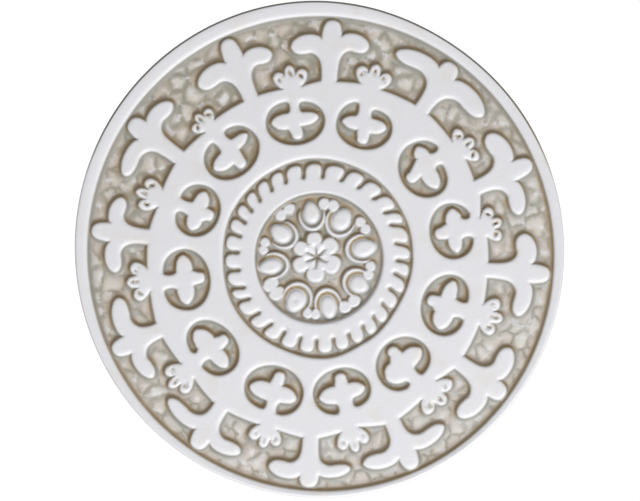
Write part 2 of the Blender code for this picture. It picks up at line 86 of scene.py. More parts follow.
# The sunk field inside the rim, and the rosette that stands in it
RIM_WIDTH = 0.007
FIELD_MIDDLE = Vector((0.0008, -0.0027))
ROSETTE_MIDDLE = Vector((-0.0007, -0.005))
DRAWN_FIELD = Vector((0.1421, 0.145))
FIELD_LONG = PLAQUE_LONG / 2 - RIM_WIDTH
FIELD_SHORT = PLAQUE_SHORT / 2 - RIM_WIDTH

# Twelve sprays: bearing, and radius of the ring's edge at the foot of the stem, then for the
# arm on either side the bearing of its tip, its outer radius and its inner radius
SPRAYS = (
    (23.8, 0.106, (12.0, 0.1315, 0.121), (36.0, 0.1352, 0.1225)),
    (55.0, 0.1102, (40.6, 0.1392, 0.127), (69.2, 0.1398, 0.1293)),
    (86.5, 0.1078, (76.4, 0.1382, 0.127), (97.4, 0.1362, 0.1243)),
    (113.0, 0.1055, (102.8, 0.1338, 0.1228), (125.0, 0.134, 0.1218)),
    (144.3, 0.1045, (133.4, 0.136, 0.1255), (157.2, 0.134, 0.124)),
    (173.1, 0.1045, (163.0, 0.1307, 0.121), (184.2, 0.1302, 0.12)),
    (204.6, 0.1067, (191.4, 0.131, 0.12), (216.0, 0.13, 0.1205)),
    (236.9, 0.109, (223.4, 0.1307, 0.1218), (248.2, 0.1332, 0.1243)),
    (267.6, 0.1102, (256.6, 0.136, 0.1257), (278.6, 0.1345, 0.1268)),
    (294.3, 0.1098, (282.3, 0.1346, 0.1248), (306.7, 0.1332, 0.1238)),
    (323.3, 0.107, (311.4, 0.136, 0.1243), (334.7, 0.136, 0.1243)),
    (355.7, 0.1038, (343.6, 0.1325, 0.122), (366.6, 0.1332, 0.1208)),
)
BUD_GAP = 0.0021
BUD_SIDE = ((0.0, 1.0), (0.45, 0.93), (0.76, 0.7), (0.93, 0.35))
STEM_HALF = 2.6
ARM = (
    (0.0, 0.78), (0.17, 0.95), (0.42, 1.0), (0.68, 0.93), (0.91, 0.71), (1.0, 0.43), (0.93, 0.16),
    (0.78, 0.02), (0.56, 0.0), (0.36, 0.03), (0.2, -0.08), (0.07, -0.33), (0.0, -0.75),
)

# Twelve palmettes: bearing, radius of the ring's edge below it, half width, height and turn
PALMETTES = (
    (10.4, 0.1035, 0.0106, 0.0105, 10.0), (37.3, 0.1088, 0.0115, 0.01, 0.0),
    (73.0, 0.1102, 0.011, 0.0128, 0.0), (98.8, 0.106, 0.0104, 0.0125, 0.0),
    (129.8, 0.105, 0.0085, 0.0098, 12.0), (159.5, 0.1045, 0.0098, 0.0138, 4.0),
    (187.6, 0.1055, 0.0117, 0.0122, 0.0), (221.0, 0.107, 0.01, 0.0135, 0.0),
    (253.5, 0.109, 0.01, 0.0118, 0.0), (280.4, 0.108, 0.0098, 0.0128, 7.0),
    (310.0, 0.1065, 0.0128, 0.0118, 12.0), (340.8, 0.1065, 0.0112, 0.012, 7.0),
)
MIDDLE_PETAL = ((0.0, 1.0), (0.24, 0.86), (0.3, 0.66), (0.34, 0.52))
SIDE_PETAL = (
    (0.34, 0.52), (0.53, 0.7), (0.79, 0.72), (1.0, 0.54), (0.97, 0.3), (0.81, 0.08), (0.6, -0.1),
)
# A drop pressed into each petal: where its middle is, in shares of half width and height, and its lean
DROPS = ((-0.62, 0.4, 38.0), (0.0, 0.62, 0.0), (0.62, 0.4, -38.0))
PALE_DROPS = 265.0  # the bearing round which they are paler and shallower
PALE_SPREAD = 35.0
DROP_WIDTH = 0.00075
DROP_LENGTH = 0.0018

# Twelve eyes, each a sunk channel that curls round a trefoil in two hooks: bearing and radius of
# its middle, its turn, and how far it reaches inwards. Then for the side before and the side
# after: how far the channel reaches across, how far the hook's end stays from the neck's middle,
# the heights of the hook's top and underside, and where the trefoil's notch lies across and along
EYES = (
    (10.8, 0.083, -2.0, 0.0137,
     (0.0165, 0.0042, 0.012, 0.0058, 0.0038, -0.0032), (0.0175, 0.0065, 0.0122, 0.0072, 0.0055, -0.0028)),
    (39.5, 0.0838, -9.0, 0.0153,
     (0.0172, 0.0017, 0.0112, 0.0066, 0.0024, -0.0039), (0.0179, 0.0061, 0.014, 0.0083, 0.0082, -0.001)),
    (70.4, 0.0846, 10.0, 0.0138,
     (0.0167, 0.0026, 0.0112, 0.006, 0.0039, -0.0035), (0.0176, 0.0053, 0.0138, 0.006, 0.0045, -0.0028)),
    (99.4, 0.0836, -2.0, 0.0138,
     (0.0177, 0.0032, 0.0118, 0.006, 0.003, -0.0028), (0.0183, 0.0025, 0.013, 0.0065, 0.0052, -0.0038)),
    (129.6, 0.0823, 2.0, 0.0142,
     (0.0182, 0.0042, 0.0133, 0.007, 0.005, -0.0008), (0.0183, 0.0038, 0.013, 0.0052, 0.004, -0.0055)),
    (159.0, 0.079, 0.0, 0.0138,
     (0.0162, 0.0033, 0.0126, 0.0048, 0.004, -0.005), (0.0158, 0.0038, 0.0115, 0.0048, 0.005, -0.0052)),
    (189.5, 0.0815, -2.0, 0.0145,
     (0.0186, 0.004, 0.0135, 0.006, 0.005, -0.0045), (0.0186, 0.004, 0.0143, 0.007, 0.004, -0.004)),
    (221.0, 0.0843, 0.0, 0.0138,
     (0.0193, 0.0052, 0.0118, 0.008, 0.005, -0.0045), (0.0175, 0.0025, 0.013, 0.0065, 0.004, -0.0035)),
    (252.0, 0.0853, 0.0, 0.015,
     (0.019, 0.0025, 0.013, 0.0075, 0.0045, -0.0036), (0.0175, 0.004, 0.0132, 0.0065, 0.0035, -0.004)),
    (280.5, 0.0831, 1.0, 0.0145,
     (0.0185, 0.0045, 0.0127, 0.007, 0.0045, -0.0042), (0.017, 0.0045, 0.0106, 0.0052, 0.004, -0.0045)),
    (308.7, 0.0834, 2.0, 0.0163,
     (0.0176, 0.005, 0.0124, 0.0086, 0.006, -0.006), (0.0175, 0.003, 0.012, 0.0055, 0.004, -0.006)),
    (339.7, 0.0835, 3.0, 0.0155,
     (0.019, 0.005, 0.0125, 0.0065, 0.006, -0.006), (0.0188, 0.0043, 0.0115, 0.0046, 0.004, -0.005)),
)
SHOULDER = 0.65  # below 1, the channel's shoulders are fuller than an ellipse's
HOOK_NOSE = 0.003  # from a hook's end to where it reaches its full height
HOOK_CURL = 0.0009  # how far the round of a hook's end reaches across
LOBE_GAP = 0.0035  # between a lobe of the trefoil and the channel's outer edge
LOBE_FALL = 0.0006  # how far the lobe lies below the hook's underside beside it
# A lobe's upper edge: share of its reach, share of the way up from its tip to the hook's underside
LOBE_CREST = ((0.82, 0.62), (1.0, 0.0))
# Its lower edge, from its tip to the notch: share of the way across, share of the way along
LOBE_EDGE = ((0.83, 0.55), (0.5, 0.92))
FOOT_GAP = 0.0032  # between the trefoil's foot and the channel's inner edge
FOOT_SIDE = ((0.0035, 0.68), (0.0032, 0.82), (0.0021, 0.95))  # across, share of the foot's length

# The ring of teeth and the sunk circle in its middle: radii at a few bearings
CHANNEL_EDGE = (
    (0.0, 0.0577), (25.0, 0.0584), (60.0, 0.0596), (100.0, 0.0605), (120.0, 0.0597), (150.0, 0.0595),
    (180.0, 0.0581), (215.0, 0.0598), (245.0, 0.0601), (275.0, 0.0617), (300.0, 0.0591), (330.0, 0.0569),
)
TOOTH_TOPS = (
    (0.0, 0.0557), (40.0, 0.0567), (80.0, 0.0566), (105.0, 0.0574), (150.0, 0.0569), (190.0, 0.0564),
    (225.0, 0.0571), (275.0, 0.058), (300.0, 0.057), (328.0, 0.0549),
)
RECESS_EDGE = ((0.0, 0.0395), (90.0, 0.0395), (178.0, 0.0387), (260.0, 0.0402))
# The notches between the teeth: bearing of the mouth, and how many degrees on the bottom lies
NOTCHES = (
    (7.1, 3.6), (20.0, 4.6), (30.7, 3.6), (43.6, 3.5), (57.5, 2.8), (70.7, 2.8), (86.3, 0.7), (98.9, 1.8),
    (111.4, 2.1), (122.2, 2.6), (132.4, 3.6), (142.9, 2.5), (153.0, 1.8), (164.0, 1.0), (176.4, 0.0),
    (188.0, 1.0), (199.0, 3.2), (208.2, 2.8), (220.7, 2.5), (231.6, 3.4), (244.4, 1.3), (256.8, 0.8),
    (268.6, 0.0), (280.0, 0.4), (291.0, 0.5), (301.0, 2.2), (311.4, 1.8), (322.5, 2.1), (334.3, 2.5),
    (345.5, 3.1), (357.2, 0.8),
)
NOTCH_WIDTH = 0.0027
NOTCH_DEPTH = 0.0085
TOOTH_SIDE = ((1.0, 0.12), (1.0, 0.55), (0.83, 0.84), (0.38, 0.99))

# The flower, and what stands round it in the sunk circle
FLOWER_MIDDLE = Vector((-0.001, 0.0002))
FLOWER_PETALS = (44.0, 98.0, 152.0, 202.0, 264.0, 334.0)
FLOWER_REACH = 0.0155
FLOWER_CLEFT = 0.0095
PETAL_EDGE = ((0.0, 0.0), (0.1, 0.5), (0.27, 0.9), (0.5, 1.0), (0.73, 0.9), (0.9, 0.5), (1.0, 0.0))
SLIT_REACH = 0.0068
SLIT_WIDTH = 0.001
PIT_RADIUS = 0.0023
# Eight beads: bearing, radius, width and length
BEADS = (
    (12.0, 0.0287, 0.0115, 0.0155), (59.0, 0.0275, 0.012, 0.015), (99.0, 0.028, 0.0102, 0.0145),
    (147.0, 0.0275, 0.011, 0.0145), (190.0, 0.0298, 0.01, 0.015), (242.0, 0.0296, 0.0125, 0.015),
    (281.5, 0.0306, 0.0105, 0.015), (327.0, 0.0295, 0.011, 0.013),
)
BEAD_HEIGHT = 0.0028
BEAD_ROOT = 0.001
BEAD_TAPER = 0.12
# The clay under a bead and its crescent, and how far it reaches, in half sizes of the bead
BED_HEIGHT = 0.0011
BED_REACH = 1.75
GROOVE = 0.0018
CRESCENT_WIDTH = 0.0026
CRESCENT_SPAN = 100.0
CRESCENT_HEIGHT = 0.0026
# Eight two-lobed shells between the beads: bearing, radius, width and length
SHELLS = (
    (36.0, 0.0333, 0.012, 0.007), (79.0, 0.0327, 0.013, 0.008), (126.0, 0.0344, 0.014, 0.007),
    (168.0, 0.0337, 0.011, 0.0065), (215.0, 0.033, 0.015, 0.011), (263.0, 0.0342, 0.011, 0.007),
    (304.0, 0.0338, 0.015, 0.008), (346.0, 0.032, 0.012, 0.007),
)
SHELL_HEIGHT = 0.0018
WHITE_OVER = 0.0006  # how far the white glaze runs down over the beads, crescents and shells, further on the side that faces the light: painted light
SHELL_LOBE = (
    (0.0, -0.4), (0.4, -0.95), (0.85, -0.55), (1.0, 0.15), (0.72, 0.82), (0.28, 0.95), (0.0, 0.6),
)

# Small chips and dimples in the glaze: bearing, radius, half width and how dark each is
CHIPS = ((247.2, 0.0474, 0.0008, 0.6), (245.1, 0.0458, 0.0008, 0.5), (241.7, 0.0298, 0.0016, 0.2))
CHIP_DEPTH = 0.0003
BUMP_DEPTH = 0.0002  # of the grain in the glaze and the clay

# The blind pocket in the back
POCKET_WIDTH = 0.012
POCKET_HEIGHT = 0.022
POCKET_DEPTH = 0.008
POCKET_FROM_TOP = 0.045

# Radii from the middle of the rosette
MESH_MIDDLE = 0.038  # within it the mesh is fine everywhere
SMALL_MIDDLE = 0.041  # the small work lies within it
POCKETS_FROM = 0.098
DROPS_FROM = 0.1

# How a wall's turn towards the light is read, from facing it to looking away
TURN_FROM = -0.45
TURN_SPAN = 1.1
# The rim's fall fades out again inside the field's outline: over what width, and from where
FALL_WIDTH = 0.003
FALL_START = 1.3
RECESS_BAND = 0.002  # how wide the wall of the sunk circle counts
RECESS_NARROWER = 0.3  # share by which its shaded foot is shorter than the others

# The brown wash pooled under the walls, with painted shade in it: stronger under walls that look away from
# the light, in the pockets and in the eyes. In metres where it is a width and otherwise in shares
LIT_EDGE = 0.0009  # its fade up a wall in the light, and in the shade
SHADED_EDGE = 0.0005
WASH_FADE = 1.6  # how sharply it ends on the ground
TAIL_WIDTH = 0.0043
RECESS_LIT = 0.25  # what the wall of the sunk circle has more, in the light and in the shade
RECESS_SHADED = -0.6
POCKET_SHADE = 0.15  # painted shade that the pockets between the sprays have more
MIDDLE_NEARER = 0.6  # how much nearer the outlines it lies in the sunk circle
EYE_BAND = 0.008
EYE_SHADE_TAIL = 0.7  # painted shade: what is left further out is this much stronger in the eyes
STAR_WASH = 0.25
PIT_WASH = 0.45  # what the flower's pit has more than its slits
DROP_WASH_AND_SHADE = 1.8

# The unevenness of the clay: the sizes of its lumps, and how far all of it is lowered, so that
# no lump stands out of the solid
BROAD_LUMPS = 0.016
FINE_LUMPS = 0.005
LOW_BY = 0.75

# Where round the outer edge the glaze is thin and stained most, with painted shade on the upper edge, which
# looks away from the low light;
# how strongly it is on the side of the slab, and how much more at the face
STAIN_SHADE_BEARING = 90.0
STAIN_SHADE_SIDE = 0.4
STAIN_SHADE_FACE = 0.8
EDGE_REACH = 5.0  # millimetres from any wall, for the glaze on the outer edge

KEY_BEARING = -65.0  # where the low light stands, seen from the front

# How fine the mesh is
CURVE_STEPS = 7
EYE_STEPS = 20
RING_STEPS = 4
CRESCENT_STEPS = 12
ROUND_STEPS = 720
FIRST_CUTS = 6  # times that the six-sided sheet is halved all over
WALL_CUTS = (0.0021, 0.0007)  # how near a wall an edge is halved again, and once more
CONTOUR = 0.0006  # between the lines of points that run along the walls
LAST_CONTOUR = 2.6  # how far out the lines go, in steps of that
HOLD_ROUNDS = 12  # tries to find the points that would turn a triangle over
EDGE_TURNS = 5  # bands round the edge of the slab
MILLIMETRE = 0.001
SKIN = 0.00005  # how far the finished surface stays inside the solid
FACE_SINK = 0.0002
SMALL_LIP = 0.0011  # of the crescents and shells
SMALL_FOOT = 0.0009


def polar(radius, bearing):
    """The point at a radius and a bearing."""
    turn = math.radians(bearing)
    return Vector((math.cos(turn), math.sin(turn))) * radius


def beside(bearing, other):
    """The bearing, taken a full turn on or back where that brings it nearest the other."""
    return bearing + 360 * round((other - bearing) / 360)


def around(readings, bearing):
    """What readings of (bearing, value) say at a bearing, eased between the two beside it."""
    bearing %= 360
    lap = [(readings[-1][0] - 360, readings[-1][1]), *readings, (readings[0][0] + 360, readings[0][1])]
    for (start, low), (end, high) in zip(lap, lap[1:]):
        if bearing <= end:
            share = (bearing - start) / (end - start)
            return low + (high - low) * share * share * (3 - 2 * share)
    return lap[-1][1]


def oval_radius(long, short, bearing):
    """The radius of an ellipse at a bearing, with its long axis at LONG_BEARING."""
    turn = math.radians(bearing - LONG_BEARING)
    return long * short / math.hypot(short * math.cos(turn), long * math.sin(turn))


def plaque_radius(bearing):
    """The radius of the plaque's outline."""
    away = (beside(bearing, FLAT_BEARING) - FLAT_BEARING) / FLAT_SPREAD
    return oval_radius(PLAQUE_LONG / 2, PLAQUE_SHORT / 2, bearing) - FLAT_DEPTH * math.exp(-away * away)


def slab_radius(bearing):
    """The radius of the finished edge, a hair inside the solid's."""
    return plaque_radius(bearing) - SKIN


def edge_rounding(bearing, sizes):
    """How far the edge is rounded over at a bearing: most at the foot, where the glaze ran thick."""
    low = soft_step((math.cos(math.radians(bearing - sizes.thick_bearing)) + 0.2) / 1.2)
    return sizes.edge_round + float(low) * (sizes.foot_round - sizes.edge_round)


def edge_stain_and_shade(bearing):
    """How much of the outer edge's stain and painted shade there is at a bearing, from 0 to 1: most at the
    top, which looks away from the low light.
    """
    return float(soft_step((math.cos(math.radians(bearing - STAIN_SHADE_BEARING)) - 0.25) / 0.3))


def wall_radius(bearing):
    """The radius of the field's wall, measured from the middle of the rosette."""
    return oval_radius(*DRAWN_FIELD.yx, bearing) + (FIELD_MIDDLE - ROSETTE_MIDDLE).dot(polar(1, bearing))


def fitted(point):
    """A point of the rosette as drawn, stretched to the size of the plaque's field and set on it."""
    stretch = Matrix.Diagonal((FIELD_SHORT / DRAWN_FIELD.x, FIELD_LONG / DRAWN_FIELD.y))
    turn = Matrix.Rotation(math.radians(LONG_BEARING - 90), 2)
    return ROSETTE_MIDDLE + turn @ stretch @ turn.inverted() @ point


def placed(points, bearing, radius, turn=0.0):
    """Points drawn as (across, outward), moved to a bearing and a radius of the rosette."""
    way = Matrix.Rotation(math.radians(bearing - 90 + turn), 2)
    return [polar(radius, bearing) + way @ Vector((-across, outward)) for across, outward in points]


def mirrored(half):
    """A run that starts on the middle line, with its mirror image before it."""
    return [(-across, outward) for across, outward in reversed(half)] + list(half[1:])


def smooth(run):
    """Points close together along a soft curve through the points of a run."""
    if len(run) < 3:
        return list(run)
    ways = [(after - before).normalized() for before, after in zip(run, run[2:])]
    first, last = (run[1] - run[0]).normalized(), (run[-1] - run[-2]).normalized()
    ways.insert(0, 2 * ways[0].dot(first) * first - ways[0])
    ways.append(2 * ways[-1].dot(last) * last - ways[-1])
    curve = []
    for start, end, leaving, arriving in zip(run, run[1:], ways, ways[1:]):
        third = (end - start).length / 3
        piece = interpolate_bezier(start, start + leaving * third, end - arriving * third, end, CURVE_STEPS)
        curve += [point.xy for point in piece[:-1]]
    return [*curve, run[-1]]


def outline(runs):
    """One closed outline: soft along each run, with a corner wherever two runs meet."""
    return [point for run in runs for point in smooth(run)[:-1]]


def palmette_runs(bearing, edge, half, height, turn):
    """A palmette's outline, as the runs along its three petals."""
    middle = [(across * half, outward * height) for across, outward in mirrored(MIDDLE_PETAL)]
    far = [(across * half, outward * height) for across, outward in SIDE_PETAL]
    near = [(-across, outward) for across, outward in reversed(far)]
    return [placed(run, bearing, edge, turn) for run in (near, middle, far)]


def arm_run(bearing, foot, tip, outer, inner):
    """One arm's outline, from the foot of the bud to the foot of the stem."""
    side = bearing + math.copysign(STEM_HALF, tip - bearing)
    run = [polar(inner + high * (outer - inner), side + share * (tip - side)) for share, high in ARM]
    return [*run, polar(foot, side)]


def bud_run(bearing, corners):
    """A bud's outline, from one corner over its tip, which nearly meets the wall, to the other."""
    tip = wall_radius(bearing) - BUD_GAP
    sides = []
    for corner, half in zip(corners, (-STEM_HALF, STEM_HALF)):
        foot = corner.length
        sides.append([polar(foot + high * (tip - foot), bearing + share * half) for share, high in BUD_SIDE])
    return [corners[0], *sides[0][:0:-1], *sides[1], corners[1]]


def ring_run(start, end):
    """The ring's edge from one point to another."""
    first = math.degrees(math.atan2(start.y, start.x))
    last = beside(math.degrees(math.atan2(end.y, end.x)), first)
    run = []
    for step in range(RING_STEPS + 1):
        share = step / RING_STEPS
        run.append(polar(start.length + share * (end.length - start.length), first + share * (last - first)))
    return run


def lattice_outline():
    """The outer edge of the ring with its sprays and palmettes."""
    palmettes = [palmette_runs(*palmette) for palmette in PALMETTES]
    runs = []
    for place, (bearing, foot, *arms) in enumerate(SPRAYS):
        near, far = (arm_run(bearing, foot, *arm) for arm in arms)
        petals = palmettes[place]
        following = palmettes[(place + 1) % len(palmettes)]
        runs += [*petals, ring_run(petals[-1][-1], near[-1]), near[::-1]]
        runs += [bud_run(bearing, (near[0], far[0])), far, ring_run(far[-1], following[0][0])]
    return outline(runs)


def eye_side(depth, half, hook, top, under, notch, level):
    """One side of an eye, from the channel's inner edge round the hook to the trefoil's notch."""
    start = math.asin(((hook + HOOK_NOSE) / half) ** (1 / SHOULDER))
    side = []
    for step in range(EYE_STEPS + 1):
        angle = math.pi - (math.pi - start) * step / EYE_STEPS
        if angle > math.pi / 2:
            side.append((half * math.sin(angle), depth * math.cos(angle)))
        else:
            side.append((half * math.sin(angle) ** SHOULDER, top * math.cos(angle) / math.cos(start)))
    tip = half - LOBE_GAP
    middle = (under + level) / 2
    side += [(hook + HOOK_CURL, top - HOOK_CURL / 2), (hook, (top + under) / 2), (hook + HOOK_CURL, under)]
    side.append((max(hook + HOOK_NOSE, tip / 2), under - LOBE_FALL))
    side += [(way * tip, middle + up * (under - middle)) for way, up in LOBE_CREST]
    side += [(notch + way * (tip - notch), middle + down * (level - middle)) for way, down in LOBE_EDGE]
    return [*side, (notch, level)]


def eye_outline(bearing, radius, turn, depth, before, after):
    """The channel of one eye, from the notch on one side round to the other, and back by the foot."""
    near = [(-across, outward) for across, outward in eye_side(depth, *before)]
    far = eye_side(depth, *after)
    foot = depth - FOOT_GAP
    side = [(across, -share * foot) for across, share in FOOT_SIDE]
    other = [(-across, outward) for across, outward in reversed(side)]
    runs = [[*near[::-1], *far[1:]], [far[-1], *side, (0, -foot), *other, near[-1]]]
    return outline([placed(run, bearing, radius, turn) for run in runs])


def turned_outline(readings):
    """A nearly round outline whose radius follows readings round the rosette."""
    bearings = [360 * step / ROUND_STEPS for step in range(ROUND_STEPS)]
    return [polar(around(readings, bearing), bearing) for bearing in bearings]


def teeth_outline():
    """The toothed outer edge of the inner ring."""
    run = []
    following = [*NOTCHES[1:], (NOTCHES[0][0] + 360, NOTCHES[0][1])]
    for (start, lean), (end, next_lean) in zip(NOTCHES, following):
        top = around(TOOTH_TOPS, (start + end) / 2)
        floor = top - NOTCH_DEPTH
        half_notch = math.degrees(NOTCH_WIDTH / 2 / top)
        sides = ([], [])
        for across, deep in TOOTH_SIDE:
            low = start + half_notch + (1 - deep) * lean
            high = end - half_notch + (1 - deep) * next_lean
            for side, share in zip(sides, (-across, across)):
                place = (low + high) / 2 + share * (high - low) / 2
                side.append(polar(floor + deep * NOTCH_DEPTH, place))
        run += [*sides[0], *reversed(sides[1]), polar(floor, end + next_lean)]
    return outline([[*run, run[0]]])


def flower_outlines():
    """The flower's petals, and the star of slits that opens its middle."""
    petals = []
    star = []
    half_slit = math.degrees(SLIT_WIDTH / 2 / SLIT_REACH)
    for place, bearing in enumerate(FLOWER_PETALS):
        before = (beside(FLOWER_PETALS[place - 1], bearing) + bearing) / 2
        after = (beside(FLOWER_PETALS[(place + 1) % len(FLOWER_PETALS)], bearing) + bearing) / 2
        petal = []
        for way, high in PETAL_EDGE:
            radius = FLOWER_CLEFT + high * (FLOWER_REACH - FLOWER_CLEFT)
            petal.append(FLOWER_MIDDLE + polar(radius, before + way * (after - before)))
        petals.append(petal)
        star.append(FLOWER_MIDDLE + polar(PIT_RADIUS, before))
        star += [FLOWER_MIDDLE + polar(SLIT_REACH, bearing + side) for side in (-half_slit, half_slit)]
    return [outline(petals), star]


def crescent_outline(bearing, radius, width, length):
    """The ridge round a bead's inner end, which runs out to a point at both ends."""
    edges = []
    for thick in (0, CRESCENT_WIDTH):
        edge = []
        for step in range(-CRESCENT_STEPS, CRESCENT_STEPS + 1):
            share = step / CRESCENT_STEPS
            angle = math.radians(share * CRESCENT_SPAN)
            out = GROOVE + thick * math.sqrt(1 - share * share)
            edge.append((math.sin(angle) * (width / 2 + out), -math.cos(angle) * (length / 2 + out)))
        edges.append(placed(edge, bearing, radius))
    return outline([edges[0], edges[1][::-1]])


def shell_outline(bearing, radius, width, length):
    """The two lobes of a shell."""
    lobe = [(across * width / 2, outward * length / 2) for across, outward in SHELL_LOBE]
    other = [(-across, outward) for across, outward in lobe[::-1]]
    return outline([placed(lobe, bearing, radius), placed(other, bearing, radius)])


def facing_raised(points, raised_inside):
    """A closed outline as an array that runs with the raised clay on its left."""
    ring = np.array([tuple(point) for point in points])
    following = np.roll(ring, -1, axis=0)
    area = (ring[:, 0] * following[:, 1] - following[:, 0] * ring[:, 1]).sum()
    return ring if (area > 0) == raised_inside else ring[::-1]


def filled_out(ring, spacing=0.0004):
    """The outline with points added so that none is much further than the spacing from the next."""
    following = np.roll(ring, -1, axis=0)
    pieces = []
    for start, end in zip(ring, following):
        count = max(1, math.ceil(math.dist(start, end) / spacing))
        pieces.append(start + (end - start) * (np.arange(count) / count)[:, None])
    return np.concatenate(pieces)


def to_left(ways):
    """Directions turned a quarter round to the left."""
    return np.stack([-ways[:, 1], ways[:, 0]], axis=1)


class Walls:
    """Outlines that raised clay stands on the left of, and how far points lie from them."""

    def __init__(self, outlines, raised_inside):
        corners, leaving, arriving = [], [], []
        for points, inside in zip(outlines, raised_inside):
            ring = filled_out(facing_raised(points, inside))
            out = np.roll(ring, -1, axis=0) - ring
            corners.append(ring)
            leaving.append(out)
            arriving.append(np.roll(out, 1, axis=0))
        self.corners = np.concatenate(corners)
        self.leaving, self.leaving_length = self.split(np.concatenate(leaving))
        self.arriving, self.arriving_length = self.split(np.concatenate(arriving))
        self.tree = KDTree(len(self.corners))
        for place, (x, y) in enumerate(self.corners.tolist()):
            self.tree.insert((x, y, 0), place)
        self.tree.balance()

    @staticmethod
    def split(ways):
        length = np.maximum(np.linalg.norm(ways, axis=1), 1e-9)
        return ways / length[:, None], length

    def measure(self, points):
        """How far inside the raised clay each point lies, below 0 outside it, and the way inwards."""
        near = np.array([self.tree.find((x, y, 0))[1] for x, y in points.tolist()])
        corner = self.corners[near]
        away = points - corner
        leaving, arriving = self.leaving[near], self.arriving[near]
        ahead = np.clip((away * leaving).sum(1), 0, self.leaving_length[near])
        behind = np.clip(-(away * arriving).sum(1), 0, self.arriving_length[near])
        from_ahead = points - corner - leaving * ahead[:, None]
        from_behind = points - corner + arriving * behind[:, None]
        on_ahead = (from_ahead**2).sum(1) <= (from_behind**2).sum(1)
        offset = np.where(on_ahead[:, None], from_ahead, from_behind)
        inwards = np.where(on_ahead[:, None], to_left(leaving), to_left(arriving))
        at_corner = np.where(on_ahead, ahead, behind) <= 0
        inwards[at_corner] = (to_left(leaving) + to_left(arriving))[at_corner]
        inwards /= np.maximum(np.linalg.norm(inwards, axis=1), 1e-9)[:, None]
        sign = np.where((offset * inwards).sum(1) >= 0, 1.0, -1.0)
        distance = np.linalg.norm(offset, axis=1)
        clear = distance > 1e-6
        inwards[clear] = (offset * sign[:, None])[clear] / distance[clear][:, None]
        return distance * sign, inwards


def soft_step(share):
    """A share from 0 to 1, eased at both ends."""
    share = np.clip(share, 0, 1)
    return share * share * (3 - 2 * share)


def wall_height(distance, lip, foot):
    """Share of the full height at a distance inside a wall: 0 beyond its foot, 1 beyond its lip."""
    share = np.clip((distance + foot) / (lip + foot), 0, 1)
    return soft_step(share**0.75)


def looking_away(facing):
    """From 0 for a wall that faces the light to 1 for one that looks away from it."""
    return soft_step((facing - TURN_FROM) / TURN_SPAN)


def bump_of(across, width):
    """1 at 0 across, and nearly 0 from the width on."""
    return np.exp(-((across / width) ** 2))


def lumps(points, size, seed):
    """Soft random unevenness between about -1 and 1, with lumps of about the given size."""
    return np.array([noise.noise(Vector((x / size, y / size, seed))) for x, y in points.tolist()])


def across_and_along(points, middle, bearing):
    """Points seen from a place on the rosette: across the way its bearing points, and along it."""
    way = np.array(polar(1, bearing))
    offset = points - np.array(middle)
    return offset @ np.array((way[1], -way[0])), offset @ way


